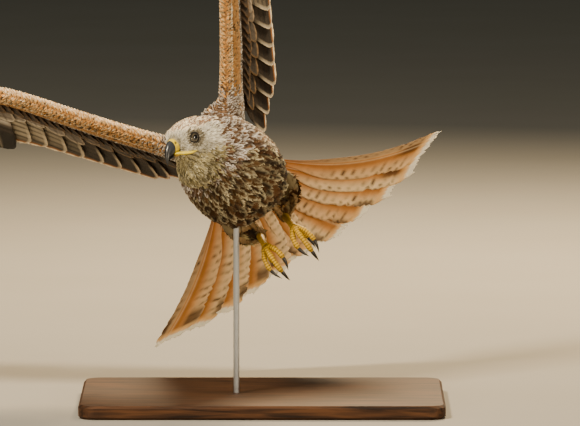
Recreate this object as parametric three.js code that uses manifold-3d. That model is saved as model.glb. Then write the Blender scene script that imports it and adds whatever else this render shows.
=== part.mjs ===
// A red kite banking in flight with its tail spread: a still, life-size model on a plain stand.
// Millimetres, +Z up. The origin is the middle of the underside of the stand's base.
// The bird is described in its own frame, +X to the breast, +Y to its left and +Z to its back,
// and then banked and pitched as a whole about BODY_PLACE.
import * as THREE from 'three';
import { mergeVertices } from 'three/addons/utils/BufferGeometryUtils.js';
import Module from 'manifold-3d';

const wasm = await Module();
wasm.setup();

// Driving dimensions
const GAP = 0.3;                       // room between two pieces that touch

const BODY_PLACE = [-33, 0, 277];      // the bird's own origin above the base
const FORWARD = [-0.13, -0.9796, 0.151];
const LEFTWARD = [0.797, -0.0124, 0.6039];

const TRUNK_HALF_WIDTH = 58;
const TRUNK_SIDE = -3;                 // the breast swings this far out of the line of the back
const TRUNK_TOP = 42;
const TRUNK_BOTTOM = -66;
const TAIL_ROOT = [-108, 0, 12];

const EYE_MIDDLE = [120.3, -20, 44];   // half way between the two eyes
const HEAD_AHEAD = [0.85, -0.527, -0.028];
const HEAD_UP = [0.255, 0.366, 0.895];
const EYE_RADIUS = 7.6;
const EYE_OPENING = 6.0;
const EYE_SIDE = 12.8;                 // from the head's middle to the centre of an eyeball

const SHOULDER = [47, 28, 37];
const WRIST_OUT = 240;                 // from the shoulder joint to the wrist
const HAND_OUT = 335;                  // from the shoulder joint to the end of the hand
const ELBOW = [104, -55];
const WRIST = [240, 4];
const HAND_END = [335, 0];
const ARM_CHORD_FRONT = 14;
const ROOT_OUT = 12;                   // where the wing meets the shoulder
const SHOULDER_RISE = 20;              // how much thicker the wing's root is above
const WING_POSES = [
  { side: 'left', sign: 1, dihedral: 54, incidence: [2.5, 2.3], seed: 11 },
  { side: 'right', sign: -1, dihedral: 54, incidence: [3.5, 8.5], seed: 23 },
];
const HAND_DROOP = 13;                 // the hand lies this many degrees flatter than the arm
const TIP_RISE = 12;                   // and its tips bend up again
const WING_CAMBER = 0.00035;           // how fast the wing curls down behind the arm, per mm
const CAMBER_START = -40;

const PRIMARY_LENGTHS = [226, 232, 243, 265, 305, 350, 370, 362, 328, 262];
const PRIMARY_COUNT = PRIMARY_LENGTHS.length;
const SECONDARY_COUNT = 8;
const SECONDARY_LENGTH = 186;
const TERTIAL_COUNT = 3;
const VANE_ROLL = 0.12;                // rise of a vane's outer edge over its width
const SHAFT_THICKNESS = 0.9;
const EDGE_THICKNESS = 0.5;
const COVERT_THICKNESS = 1.2;
const COVERT_LIFT = 4.9;               // from the flight feathers to the great coverts
const MEDIAN_LIFT = 8.0;
const LENGTH_VARIATION = 0.012;
const HEADING_VARIATION = 0.5;

const TAIL_AXIS = [-0.926, -0.056, -0.372];
const TAIL_SIDES = [
  { sign: 1, spread: 25.5, sweep: 46, rootSide: 21, middle: 262, outer: 290, seed: 5 },
  { sign: -1, spread: 27, sweep: 28, rootSide: 30, middle: 255, outer: 295, seed: 8 },
];
const TAIL_PAIRS = 6;
const TAIL_COVERT = 104;

const BASE_LENGTH = 420;
const BASE_WIDTH = 310;
const BASE_HEIGHT = 16;
const ROD_RADIUS = 3.5;
const ROD_PLACE = [-30, -14];

const radians = (degrees) => (degrees * Math.PI) / 180;
const vector = (list) => new THREE.Vector3(...list);
const mix = (a, b, t) => a + (b - a) * t;
const clamp01 = (t) => Math.min(1, Math.max(0, t));
const ease = (t) => clamp01(t) ** 2 * (3 - 2 * clamp01(t));

// A repeatable draw between -1 and 1
function drawer(seed) {
  let state = seed;
  return () => {
    state = (state * 1664525 + 1013904223) % 4294967296;
    return state / 2147483648 - 1;
  };
}

// A smooth value between stations, each a list that starts with its place
function between(stations, place) {
  const last = stations.length - 1;
  if (place <= stations[0][0]) return stations[0].slice(1);
  if (place >= stations[last][0]) return stations[last].slice(1);
  const i = stations.findIndex((station) => station[0] > place) - 1;
  const t = (place - stations[i][0]) / (stations[i + 1][0] - stations[i][0]);
  const before = stations[Math.max(0, i - 1)];
  const after = stations[Math.min(last, i + 2)];
  return stations[i].slice(1).map((value, k) => {
    const next = stations[i + 1][k + 1];
    const slopeIn = (next - before[k + 1]) / 2;
    const slopeOut = (after[k + 1] - value) / 2;
    const cubic = (2 * t ** 3 - 3 * t ** 2 + 1) * value + (t ** 3 - 2 * t ** 2 + t) * slopeIn;
    return cubic + (-2 * t ** 3 + 3 * t ** 2) * next + (t ** 3 - t ** 2) * slopeOut;
  });
}

// Solids
function solidOf(geometry) {
  const bare = geometry.clone();
  bare.deleteAttribute('normal');
  bare.deleteAttribute('uv');
  const merged = mergeVertices(bare, 1e-5);
  const vertProperties = Float32Array.from(merged.attributes.position.array);
  const triVerts = Uint32Array.from(merged.index.array);
  if (volumeOf(vertProperties, triVerts) < 0) triVerts.reverse();
  return new wasm.Manifold(new wasm.Mesh({ numProp: 3, vertProperties, triVerts }));
}

function volumeOf(places, corners) {
  const at = (i) => new THREE.Vector3().fromArray(places, 3 * corners[i]);
  let sum = 0;
  for (let i = 0; i < corners.length; i += 3) sum += at(i).dot(at(i + 1).cross(at(i + 2)));
  return sum;
}

function largest(solid) {
  return solid.decompose().sort((a, b) => b.volume() - a.volume())[0];
}

function unite(solids) {
  return solids.reduce((whole, piece) => whole.add(piece));
}

// A closed skin over rings of equally many points, flat at both ends.
// The second half of a ring is split the other way, so that both faces of a thin vane match.
function loft(rings) {
  const count = rings[0].length;
  const points = rings.flat();
  const top = points.length - count;
  const faces = [];
  for (let j = 0; j < count; j += 1) {
    const k = (j + 1) % count;
    for (let i = 0; i < rings.length - 1; i += 1) {
      const [a, b] = [i * count + j, i * count + k];
      const [c, d] = [a + count, b + count];
      faces.push(...(j < count / 2 ? [a, c, b, b, c, d] : [a, c, d, a, d, b]));
    }
    if (j > 0 && k > 0) faces.push(0, j, k, top, top + k, top + j);
  }
  const geometry = new THREE.BufferGeometry();
  geometry.setAttribute('position', new THREE.Float32BufferAttribute(points.flatMap((p) => p.toArray()), 3));
  geometry.setIndex(faces);
  return solidOf(geometry);
}

function ball(centre, radii, sides = 12) {
  const geometry = new THREE.SphereGeometry(1, sides, Math.round(sides * 0.6));
  geometry.scale(...radii);
  geometry.translate(...centre.toArray());
  return solidOf(geometry);
}

// Everything on the side of a flat cut that its arrow points to
function halfSpace(place, arrow) {
  const reach = 1500;
  const geometry = new THREE.BoxGeometry(reach, reach, reach);
  geometry.translate(0, 0, reach / 2);
  geometry.applyQuaternion(new THREE.Quaternion().setFromUnitVectors(new THREE.Vector3(0, 0, 1), arrow));
  geometry.translate(...place.toArray());
  return solidOf(geometry);
}

function beyond(solid, place, arrow, gap = GAP / 2) {
  return solid.intersect(halfSpace(place.clone().addScaledVector(arrow, gap), arrow));
}

function before(solid, place, arrow, gap = GAP / 2) {
  return beyond(solid, place, arrow.clone().negate(), gap);
}

// A round bar along a curve, its radii given at places from 0 to 1
function limb(curve, radii, steps, sides, flatness = 1) {
  const frames = curve.computeFrenetFrames(steps, false);
  const rings = [];
  for (let i = 0; i <= steps; i += 1) {
    const [radius] = between(radii, i / steps);
    const centre = curve.getPointAt(i / steps);
    rings.push(Array.from({ length: sides }, (_, j) => {
      const turn = (2 * Math.PI * j) / sides;
      return centre.clone()
        .addScaledVector(frames.normals[i], radius * Math.cos(turn))
        .addScaledVector(frames.binormals[i], radius * flatness * Math.sin(turn));
    }));
  }
  return loft(rings);
}

// Trunk: places along the body with half width, top and bottom
const TRUNK_STATIONS = [
  [-130, 9, 17, 7],
  [-122, 20, 21, 0],
  [-104, 29, 26, -12],
  [-72, 40, 32, -33],
  [-32, 51, 38, -55],
  [12, TRUNK_HALF_WIDTH, TRUNK_TOP, TRUNK_BOTTOM],
  [48, 57, 48, -58],
  [74, 49, 54, -38],
  [90, 37, 55, -16],
  [98, 18, 45, 2],
];
const TRUNK_ROUNDNESS = 2.35;

function oval(centre, across, up, halfWidth, halfHeight, sides, roundness = 2) {
  return Array.from({ length: sides }, (_, j) => {
    const turn = (2 * Math.PI * j) / sides;
    const bend = (x) => Math.sign(x) * Math.abs(x) ** (2 / roundness);
    return centre.clone()
      .addScaledVector(across, halfWidth * bend(Math.cos(turn)))
      .addScaledVector(up, halfHeight * bend(Math.sin(turn)));
  });
}

function trunk(grow = 0) {
  const [start, end] = [TRUNK_STATIONS[0][0] - grow, TRUNK_STATIONS.at(-1)[0] + grow];
  const steps = 14;
  const rings = [];
  for (let i = 0; i <= steps; i += 1) {
    const place = mix(start, end, (1 - Math.cos((Math.PI * i) / steps)) / 2);
    const [halfWidth, top, bottom] = between(TRUNK_STATIONS, place);
    const centre = new THREE.Vector3(place, TRUNK_SIDE * ease((place + 100) / 100), (top + bottom) / 2);
    const [across, up] = [new THREE.Vector3(0, 1, 0), new THREE.Vector3(0, 0, 1)];
    const halfHeight = (top - bottom) / 2 + grow;
    rings.push(oval(centre, across, up, halfWidth + grow, halfHeight, 20, TRUNK_ROUNDNESS));
  }
  return loft(rings);
}

// Head: a frame of its own, +X to the bill, +Y to its left and +Z to the crown
const headAhead = vector(HEAD_AHEAD).normalize();
const headLeft = vector(HEAD_UP).cross(headAhead).normalize();
const headUp = headAhead.clone().cross(headLeft);
const headPlace = new THREE.Matrix4().makeBasis(headAhead, headLeft, headUp).setPosition(...EYE_MIDDLE);
const inHead = (x, y, z) => new THREE.Vector3(x, y, z).applyMatrix4(headPlace);
const headArrow = (x, y, z) => new THREE.Vector3(x, y, z).transformDirection(headPlace);

// Places along the head with half width, top and bottom
const HEAD_STATIONS = [
  [-46, 14, 11, -22],
  [-38, 20.5, 17, -28],
  [-22, 23.5, 20, -30],
  [-6, 22, 19.5, -27],
  [6, 18.5, 17.5, -23.5],
  [15, 13.2, 13.5, -19.5],
  [21, 9.0, 9.0, -14.5],
  [25, 5.5, 4, -10],
];
const THROAT = { place: [-6, 0, -38], radius: 22 };
// Bill and cere, their ridge and the line of the mouth
const BILL_STATIONS = [
  [14, 6.6, 8.2, -9.4],
  [21, 6.4, 7.0, -9.8],
  [27.5, 5.6, 5.4, -10.4],
  [33.5, 4.3, 2.2, -11.4],
  [38, 3.0, -3.0, -13.6],
  [40.8, 1.9, -9.0, -16.6],
  [41.7, 0.9, -15.0, -19.6],
];
const LOWER_BILL_STATIONS = [
  [12, 5.4, -9.6, -14.4],
  [23, 5.0, -10.4, -14.8],
  [30, 4.0, -11.2, -14.6],
  [35.5, 2.2, -12.0, -14.0],
];
const MOUTH_SLIT = 0.5;

function alongHead(stations, steps, sides, roundness) {
  const rings = [];
  const [start, end] = [stations[0][0], stations.at(-1)[0]];
  for (let i = 0; i <= steps; i += 1) {
    const place = mix(start, end, i / steps);
    const [halfWidth, top, bottom] = between(stations, place);
    const centre = inHead(place, 0, (top + bottom) / 2);
    rings.push(oval(centre, headLeft, headUp, halfWidth, (top - bottom) / 2, sides, roundness));
  }
  return loft(rings);
}

const eyePlace = (sign) => inHead(0, sign * EYE_SIDE, 0);
const eyeArrow = (sign) => headArrow(0.30, sign * 0.95, 0.02).normalize();

function eye(sign) {
  return ball(eyePlace(sign), [EYE_RADIUS, EYE_RADIUS, EYE_RADIUS]);
}

// The hole between the lids, a little wider than high
function lidHole(sign) {
  const geometry = new THREE.CylinderGeometry(EYE_OPENING, EYE_OPENING * 0.9, 20, 14);
  geometry.scale(1, 1, 0.9);
  geometry.rotateX(Math.PI / 2);
  geometry.translate(0, 0, 10);
  const ahead = eyeArrow(sign);
  const across = headAhead.clone().addScaledVector(ahead, -headAhead.dot(ahead)).normalize();
  const frame = new THREE.Matrix4().makeBasis(across, ahead.clone().cross(across), ahead);
  geometry.applyMatrix4(frame.setPosition(...eyePlace(sign).toArray()));
  return solidOf(geometry);
}

function brow(sign) {
  const points = [[-7, 17.0, 8.0], [0, 17.8, 8.8], [8, 14.3, 7.4], [13, 10.2, 5.6]];
  const curve = new THREE.CatmullRomCurve3(points.map(([x, y, z]) => inHead(x, sign * y, z)));
  return limb(curve, [[0, 1.4], [0.4, 2.6], [1, 1.6]], 6, 6);
}

const NECK_POINTS = [[48, 5, 10], [76, 3, 26], [94, -4, 34]];
const NECK_RADII = [[0, 46], [0.35, 39], [0.6, 30], [0.85, 20], [1, 13]];

function neck() {
  const points = [...NECK_POINTS.map(vector), inHead(-20, 0, -5), inHead(-4, 0, -4)];
  return limb(new THREE.CatmullRomCurve3(points), NECK_RADII, 7, 14);
}

const NECK_CUT = inHead(-25, 0, 0);
const FACE_CUT = inHead(19, 0, 0);
const CERE_CUT = inHead(26, 0, 0);
const MOUTH_CUT = inHead(19, 0, -10);
const mouthArrow = headArrow(0.08, 0, 1).normalize();

// Lids and brows added, and the sockets and the slit of the mouth cut out
function withFace(flesh) {
  const lidRadius = EYE_RADIUS + GAP + 1.2;
  const socket = EYE_RADIUS + GAP;
  let head = flesh;
  for (const sign of [1, -1]) {
    head = head.add(ball(eyePlace(sign), [lidRadius, lidRadius, lidRadius])).add(brow(sign));
  }
  for (const sign of [1, -1]) {
    head = head.subtract(ball(eyePlace(sign), [socket, socket, socket])).subtract(lidHole(sign));
  }
  const mouth = new THREE.BoxGeometry(14, 30, MOUTH_SLIT);
  mouth.applyMatrix4(new THREE.Matrix4().makeBasis(headAhead, headLeft, headUp).setPosition(inHead(13, 0, -9.6)));
  return head.subtract(solidOf(mouth));
}

function headNodes(trunkGrown) {
  const throat = ball(inHead(...THROAT.place), [THROAT.radius, THROAT.radius, THROAT.radius], 10);
  const flesh = neck().add(alongHead(HEAD_STATIONS, 11, 16, 2.1)).add(throat);
  const upper = alongHead(BILL_STATIONS, 12, 12, 2);
  const lower = alongHead(LOWER_BILL_STATIONS, 6, 10, 2);
  const jaws = before(upper.add(lower), FACE_CUT, headAhead);
  const skull = beyond(flesh, NECK_CUT, headAhead).subtract(trunkGrown).add(jaws);
  const bill = beyond(upper, FACE_CUT, headAhead);
  const nostrils = [1, -1].map((sign) => ball(inHead(24, sign * 5.6, 1.5), [1.8, 1.6, 1.0], 7));
  const cere = before(bill, CERE_CUT, headAhead).subtract(unite(nostrils));
  const hook = beyond(bill, CERE_CUT, headAhead);
  const jaw = before(beyond(lower, FACE_CUT, headAhead), MOUTH_CUT, mouthArrow, GAP);
  return {
    neck: before(flesh, NECK_CUT, headAhead).subtract(trunkGrown),
    head: withFace(before(skull, FACE_CUT, headAhead)),
    eye_left: eye(1),
    eye_right: eye(-1),
    cere: beyond(cere, MOUTH_CUT, mouthArrow, 0),
    bill_upper: hook,
    bill_lower: jaw.subtract(hook),
  };
}

// Wings: places on a wing are out from the shoulder, ahead of it and above its face
function wingFrame(pose, out) {
  const flat = WRIST_OUT - 70;
  const bent = WRIST_OUT + 50;
  const angle = (u) => radians(pose.dihedral - HAND_DROOP * ease((u - flat) / (bent - flat))
    + TIP_RISE * ease((u - 420) / 300));
  const steps = 24;
  let [side, height] = [0, 0];
  for (let i = 0; i < steps; i += 1) {
    const middle = angle((out * (i + 0.5)) / steps);
    side += (Math.cos(middle) * out) / steps;
    height += (Math.sin(middle) * out) / steps;
  }
  const tilt = angle(out);
  const alpha = radians(mix(...pose.incidence, clamp01(out / WRIST_OUT)));
  const over = new THREE.Vector3(0, -pose.sign * Math.sin(tilt), Math.cos(tilt));
  const ahead = new THREE.Vector3(Math.cos(alpha), 0, 0).addScaledVector(over, Math.sin(alpha));
  const normal = over.multiplyScalar(Math.cos(alpha)).addScaledVector(new THREE.Vector3(1, 0, 0), -Math.sin(alpha));
  const place = vector(SHOULDER).add(new THREE.Vector3(0, side, height));
  place.y *= pose.sign;
  return { place, ahead, normal, outward: new THREE.Vector3(0, pose.sign * Math.cos(tilt), Math.sin(tilt)) };
}

function onWing(pose, out, front, above) {
  const frame = wingFrame(pose, out);
  const curl = WING_CAMBER * Math.min(0, front - CAMBER_START) ** 2;
  return frame.place.addScaledVector(frame.ahead, front).addScaledVector(frame.normal, above - curl);
}

// The arm and hand in their skin: places out from the shoulder with front, back and half thickness
const ARM_STATIONS = [
  [-34, ARM_CHORD_FRONT - 4, -58, 14],
  [0, ARM_CHORD_FRONT, -72, 14],
  [50, ARM_CHORD_FRONT - 2, -76, 10.5],
  [ELBOW[0], ARM_CHORD_FRONT - 3, -76, 9.5],
  [175, ARM_CHORD_FRONT, -44, 9],
  [WRIST_OUT, ARM_CHORD_FRONT + 6, -14, 8],
  [285, ARM_CHORD_FRONT - 1, -12, 6.5],
  [HAND_OUT, 9, -8, 4.6],
  [HAND_OUT + 14, 4, -4, 1.5],
];
// One section of the arm, from its front edge over the top and back beneath
const ARM_SECTION = [
  [1, 0], [0.92, 0.62], [0.7, 1], [0.36, 0.86], [0, 0.3],
  [0, -0.3], [0.36, -0.76], [0.7, -0.86], [0.92, -0.56],
];

const ARM_RINGS = [-34, 4, 12, 18, 25, 34, 60, 95, 130, 165, 200, 235, 265, 300, 330, 349];

function arm(pose) {
  return loft(ARM_RINGS.map((out) => {
    const [front, back, half] = between(ARM_STATIONS, out);
    const rise = SHOULDER_RISE * ease((32 - out) / 22);
    return ARM_SECTION.map(([chord, height]) => (
      onWing(pose, out, mix(back, front, chord), height * (height > 0 ? half + rise : half))
    ));
  }));
}

// Vanes: each lies on a sheet that is given as places out, ahead and above.
// A heading of 0 runs outwards and one of 90 straight back.
const FLIGHT_SHAPE = [[0, 0.14], [0.36, 0.92], [0.88, 0.94], [1, 0.3]];
const FINGER_SHAPE = [[0, 0.12], [0.42, 1], [0.58, 0.62], [0.9, 0.5], [1, 0.16]];
const COVERT_SHAPE = [[0, 0.35], [0.7, 1], [1, 0.36]];

function vane(sheet, feather) {
  const { root, heading, length, widths, shape } = feather;
  const { sweep = 0, slant = 0, roll = VANE_ROLL, lift = () => 0, small = false } = feather;
  const steps = 24;
  const rings = shape.map(([share, width]) => {
    let [out, front] = root;
    let angle = radians(heading);
    for (let i = 0; i < steps; i += 1) {
      const place = (share * (i + 0.5)) / steps;
      angle = radians(heading + sweep * place ** 2);
      out += (Math.cos(angle) * length * share) / steps;
      front -= (Math.sin(angle) * length * share) / steps;
    }
    const above = root[2] + lift(share);
    const at = (side, thickness) => {
      const further = slant * side * share ** 3;
      return sheet(
        out + Math.sin(angle) * side + Math.cos(angle) * further,
        front + Math.cos(angle) * side - Math.sin(angle) * further,
        above + roll * side + thickness / 2,
      );
    };
    const [lead, trail] = [widths[0] * width, -widths[1] * width];
    if (small) return [at(lead, 0), at(0, COVERT_THICKNESS), at(trail, 0), at(0, -COVERT_THICKNESS)];
    return [
      at(lead, EDGE_THICKNESS), at(0, SHAFT_THICKNESS), at(trail, EDGE_THICKNESS),
      at(trail, -EDGE_THICKNESS), at(0, -SHAFT_THICKNESS), at(lead, -EDGE_THICKNESS),
    ];
  });
  return loft(rings);
}

// Flight feathers, from the first primary at the wrist outwards
function primary(k) {
  const share = k / (PRIMARY_COUNT - 1);
  const finger = k >= 5;
  return {
    root: [mix(WRIST[0] + 13, HAND_END[0] + 3, share), mix(-1, 1, share), -0.75 * Math.max(0, k - 4)],
    heading: 86 - 76 * share ** 0.8,
    sweep: mix(4, 10, share),
    length: PRIMARY_LENGTHS[k],
    widths: finger ? [mix(13, 9, share), 27] : [15, 26],
    shape: finger ? FINGER_SHAPE : FLIGHT_SHAPE,
  };
}

// And from the first secondary at the wrist inwards to the last tertial on the upper arm
function secondary(j) {
  const share = j / (SECONDARY_COUNT - 1);
  return {
    root: [mix(WRIST[0] - 4, ELBOW[0], share), mix(WRIST[1] - 8, ELBOW[1] - 8, share), 0],
    heading: mix(87, 95, share),
    sweep: 4,
    length: SECONDARY_LENGTH + mix(10, -10, share),
    widths: [16, 29],
    shape: FLIGHT_SHAPE,
  };
}

function tertial(j) {
  const share = j / (TERTIAL_COUNT - 1);
  return {
    root: [mix(86, 48, share), mix(ELBOW[1] - 6, ELBOW[1] - 2, share), 0],
    heading: mix(96, 100, share),
    sweep: 0,
    length: mix(165, 140, share),
    widths: [18, 26],
    shape: FLIGHT_SHAPE,
  };
}

const FLIGHT_FEATHERS = [
  ...Array.from({ length: TERTIAL_COUNT }, (_, j) => tertial(TERTIAL_COUNT - 1 - j)),
  ...Array.from({ length: SECONDARY_COUNT }, (_, j) => secondary(SECONDARY_COUNT - 1 - j)),
  ...Array.from({ length: PRIMARY_COUNT }, (_, k) => primary(k)),
];

// A covert lies on its own flight feather, above it or beneath it
function covert(feather, row) {
  const { face, length, start, width, lift } = row;
  const angle = radians(feather.heading);
  const [out, front, level] = feather.root;
  return {
    root: [out - Math.cos(angle) * start, front + Math.sin(angle) * start, level + face * lift * 0.55],
    heading: feather.heading,
    sweep: feather.sweep / 2,
    length: length * (0.5 + 0.5 * (feather.length / SECONDARY_LENGTH)),
    widths: [width * 0.8, width],
    shape: COVERT_SHAPE,
    small: true,
    lift: (share) => face * lift * 0.45 * ease(share * 3),
  };
}

// Rows of coverts: start is how far each begins ahead of its feather's root, end the first feather without one
const GREAT_END = FLIGHT_FEATHERS.length;
const MEDIAN_END = 13;
const COVERT_ROWS = [
  { face: 1, length: 92, start: 4, width: 15, lift: COVERT_LIFT, end: GREAT_END },
  { face: -1, length: 82, start: 4, width: 15, lift: COVERT_LIFT, end: GREAT_END },
  { face: 1, length: 56, start: 12, width: 14, lift: MEDIAN_LIFT, end: MEDIAN_END },
  { face: -1, length: 50, start: 12, width: 14, lift: MEDIAN_LIFT, end: MEDIAN_END },
];

// Feathers that grew a little unlike each other
function varied(feathers, seed) {
  const draw = drawer(seed);
  return feathers.map((feather) => ({
    ...feather,
    length: feather.length * (1 + LENGTH_VARIATION * draw()),
    heading: feather.heading + HEADING_VARIATION * draw(),
  }));
}

function wingFeathers(pose) {
  const sheet = (out, front, above) => onWing(pose, out, front, above);
  const flight = varied(FLIGHT_FEATHERS, pose.seed);
  const coverts = COVERT_ROWS.flatMap((row) => (
    flight.slice(0, row.end).map((feather) => covert(feather, row))
  ));
  return [...flight, ...coverts].map((feather) => vane(sheet, feather));
}

function wingNodes(pose, trunkGrown) {
  const wing = unite([arm(pose), ...wingFeathers(pose)]);
  const root = wingFrame(pose, ROOT_OUT);
  const wrist = wingFrame(pose, WRIST_OUT + 12);
  const cut = wrist.outward.clone().addScaledVector(wrist.ahead, 0.07).normalize();
  const free = beyond(wing, root.place, root.outward).subtract(trunkGrown);
  return {
    [`wing_${pose.side}`]: before(free, wrist.place, cut),
    [`wing_${pose.side}_hand`]: beyond(free, wrist.place, cut),
  };
}

// Tail
const TAIL_SHAPE = [[0, 0.1], [0.24, 0.26], [0.5, 0.8], [0.92, 0.96], [1, 0.5]];
const OUTER_TAIL_SHAPE = [[0, 0.1], [0.24, 0.26], [0.5, 0.8], [0.74, 0.92], [0.92, 0.94], [1, 0.4]];
const tailAxis = vector(TAIL_AXIS).normalize();
const tailSide = new THREE.Vector3(0, 1, 0).addScaledVector(tailAxis, -tailAxis.y).normalize();
const tailOver = tailSide.clone().cross(tailAxis).normalize();

function onTail(along, side, above) {
  return vector(TAIL_ROOT).addScaledVector(tailAxis, along).addScaledVector(tailSide, side)
    .addScaledVector(tailOver, above);
}

function tailFeathers(side) {
  const sheet = (out, front, above) => onTail(out, -side.sign * front, above);
  const draw = drawer(side.seed);
  const feathers = [];
  for (let i = 0; i < TAIL_PAIRS; i += 1) {
    const share = (i + 0.4) / (TAIL_PAIRS - 0.6);
    const outermost = i === TAIL_PAIRS - 1;
    const topmost = i === 0 && side.sign > 0;
    feathers.push(vane(sheet, {
      root: [4, -side.rootSide * share, topmost ? 1.6 : 0],
      heading: side.spread * share,
      sweep: side.sweep * share,
      length: mix(side.middle, side.outer, share ** 1.2) * (1 + LENGTH_VARIATION * draw()),
      widths: [28, outermost ? 12 : 24],
      slant: outermost ? -1 : -0.35 * share,
      roll: -VANE_ROLL,
      shape: outermost ? OUTER_TAIL_SHAPE : TAIL_SHAPE,
    }));
    for (const face of i % 2 ? [] : [1, -1]) {
      feathers.push(vane(sheet, {
        root: [4, -16 * share, face * 4],
        heading: side.spread * share * 0.9,
        length: TAIL_COVERT * (1 - 0.25 * share),
        widths: [15, 15],
        roll: -VANE_ROLL,
        small: true,
        shape: COVERT_SHAPE,
        lift: (place) => face * 2.2 * ease(place * 2),
      }));
    }
  }
  return feathers;
}

function tailNodes(trunkGrown) {
  const core = limb(
    new THREE.CatmullRomCurve3([onTail(-30, 0, 0), onTail(10, 0, 0), onTail(64, 0, 0)]),
    [[0, 20], [0.4, 32], [0.7, 22], [1, 8]], 6, 14, 0.36,
  );
  return { tail: unite([core, ...TAIL_SIDES.flatMap(tailFeathers)]).subtract(trunkGrown) };
}

// Legs: hip, knee side of the thigh, ankle and the fork of the toes
const LEGS = [
  { side: 'left', sign: 1, hip: [4, 32, -30], shank: [-24, 27, -58], ankle: [-50, 10, -73], fork: [4, 15, -100] },
  { side: 'right', sign: -1, hip: [4, -34, -32], shank: [-24, -38, -65], ankle: [-50, -26, -74], fork: [4, -25, -98] },
];
// Toes: how far each points outwards, its first and last pitch, length and radius
const TOES = [
  { digit: 1, spread: 165, pitch: [-15, -75], length: 24, radius: 3.8 },
  { digit: 2, spread: -44, pitch: [-35, -92], length: 27, radius: 3.7 },
  { digit: 3, spread: 4, pitch: [-38, -105], length: 40, radius: 3.6 },
  { digit: 4, spread: 46, pitch: [-35, -92], length: 31, radius: 3.3 },
];
const TOE_BASE = 3;                    // from the fork to where a toe starts
const CLAW_LENGTH = 15;
const CLAW_BEND = 38;

function toePoints(leg, toe) {
  const ahead = new THREE.Vector3(Math.cos(radians(toe.spread)), leg.sign * Math.sin(radians(toe.spread)), 0);
  const total = toe.length + CLAW_LENGTH;
  const steps = 8;
  const points = [vector(leg.fork).addScaledVector(ahead, TOE_BASE)];
  for (let i = 0; i < steps; i += 1) {
    const pitch = radians(mix(toe.pitch[0], toe.pitch[1] - CLAW_BEND, (i + 0.5) / steps));
    const step = ahead.clone().multiplyScalar(Math.cos(pitch)).add(new THREE.Vector3(0, 0, Math.sin(pitch)));
    points.push(points.at(-1).clone().addScaledVector(step, total / steps));
  }
  return { curve: new THREE.CatmullRomCurve3(points), share: toe.length / total };
}

function legNodes(leg, trunkGrown) {
  const [hip, shank, ankle, fork] = [leg.hip, leg.shank, leg.ankle, leg.fork].map(vector);
  const down = fork.clone().sub(ankle).normalize();
  const thighCurve = new THREE.CatmullRomCurve3([hip, shank, ankle, ankle.clone().addScaledVector(down, 12)]);
  const thigh = limb(thighCurve, [[0, 27], [0.3, 23], [0.6, 14], [0.85, 6.4], [1, 5.2]], 7, 12);
  const shaft = new THREE.CatmullRomCurve3([ankle, ankle.clone().lerp(fork, 0.5), fork]);
  const tarsus = limb(shaft, [[0, 4.6], [0.5, 3.7], [0.85, 4.2], [1, 5]], 6, 8);
  const thighEnd = ankle.clone().addScaledVector(down, 9);
  const footStart = fork.clone().addScaledVector(down, -7);
  const nodes = {};
  nodes[`thigh_${leg.side}`] = before(thigh, thighEnd, down).subtract(trunkGrown);
  nodes[`tarsus_${leg.side}`] = before(beyond(tarsus, thighEnd, down), footStart, down);
  let foot = beyond(tarsus, footStart, down).add(ball(fork, [6, 6, 5], 8));
  for (const toe of TOES) {
    const { curve, share } = toePoints(leg, toe);
    const end = curve.getPointAt(share);
    const arrow = curve.getTangentAt(share);
    const pads = [[0, 1.05], [0.2, 0.9], [0.4, 1.06], [0.6, 0.88], [0.8, 1.02], [1, 0.7]];
    const radii = pads.map(([place, size]) => [place * share, size * toe.radius]);
    const whole = limb(curve, [...radii, [share + 0.01, toe.radius * 0.62], [1, 0.35]], 9, 6);
    foot = foot.add(before(whole, end, arrow));
    nodes[`claw_${leg.side}_${toe.digit}`] = beyond(whole, end, arrow);
  }
  nodes[`foot_${leg.side}`] = beyond(foot, footStart, down, GAP);
  return nodes;
}

// The bird's frame on the stand
const forward = vector(FORWARD).normalize();
const upward = forward.clone().cross(vector(LEFTWARD)).normalize();
const leftward = upward.clone().cross(forward);
const birdPlace = new THREE.Matrix4().makeBasis(forward, leftward, upward).setPosition(...BODY_PLACE);

// Stand: a flat base with a bevelled edge and one rod into the belly
function standNodes(trunkGrown) {
  const bevel = 3;
  const plate = new THREE.Shape();
  const [halfLength, halfWidth, corner] = [BASE_LENGTH / 2 - bevel, BASE_WIDTH / 2 - bevel, 20];
  plate.moveTo(-halfLength + corner, -halfWidth);
  plate.lineTo(halfLength - corner, -halfWidth);
  plate.absarc(halfLength - corner, -halfWidth + corner, corner, -Math.PI / 2, 0);
  plate.lineTo(halfLength, halfWidth - corner);
  plate.absarc(halfLength - corner, halfWidth - corner, corner, 0, Math.PI / 2);
  plate.lineTo(-halfLength + corner, halfWidth);
  plate.absarc(-halfLength + corner, halfWidth - corner, corner, Math.PI / 2, Math.PI);
  plate.lineTo(-halfLength, -halfWidth + corner);
  plate.absarc(-halfLength + corner, -halfWidth + corner, corner, Math.PI, 1.5 * Math.PI);
  const base = new THREE.ExtrudeGeometry(plate, {
    depth: BASE_HEIGHT - 2 * bevel, bevelThickness: bevel, bevelSize: bevel, bevelSegments: 1, curveSegments: 4,
  });
  base.translate(0, 0, bevel);
  const rodTop = BODY_PLACE[2];
  const rodBottom = BASE_HEIGHT + GAP;
  const rod = new THREE.CylinderGeometry(ROD_RADIUS, ROD_RADIUS, rodTop - rodBottom, 16);
  rod.rotateX(Math.PI / 2);
  rod.translate(ROD_PLACE[0], ROD_PLACE[1], (rodTop + rodBottom) / 2);
  return {
    stand_base: solidOf(base),
    stand_rod: solidOf(rod).subtract(trunkGrown.transform(birdPlace.toArray())),
  };
}

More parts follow.
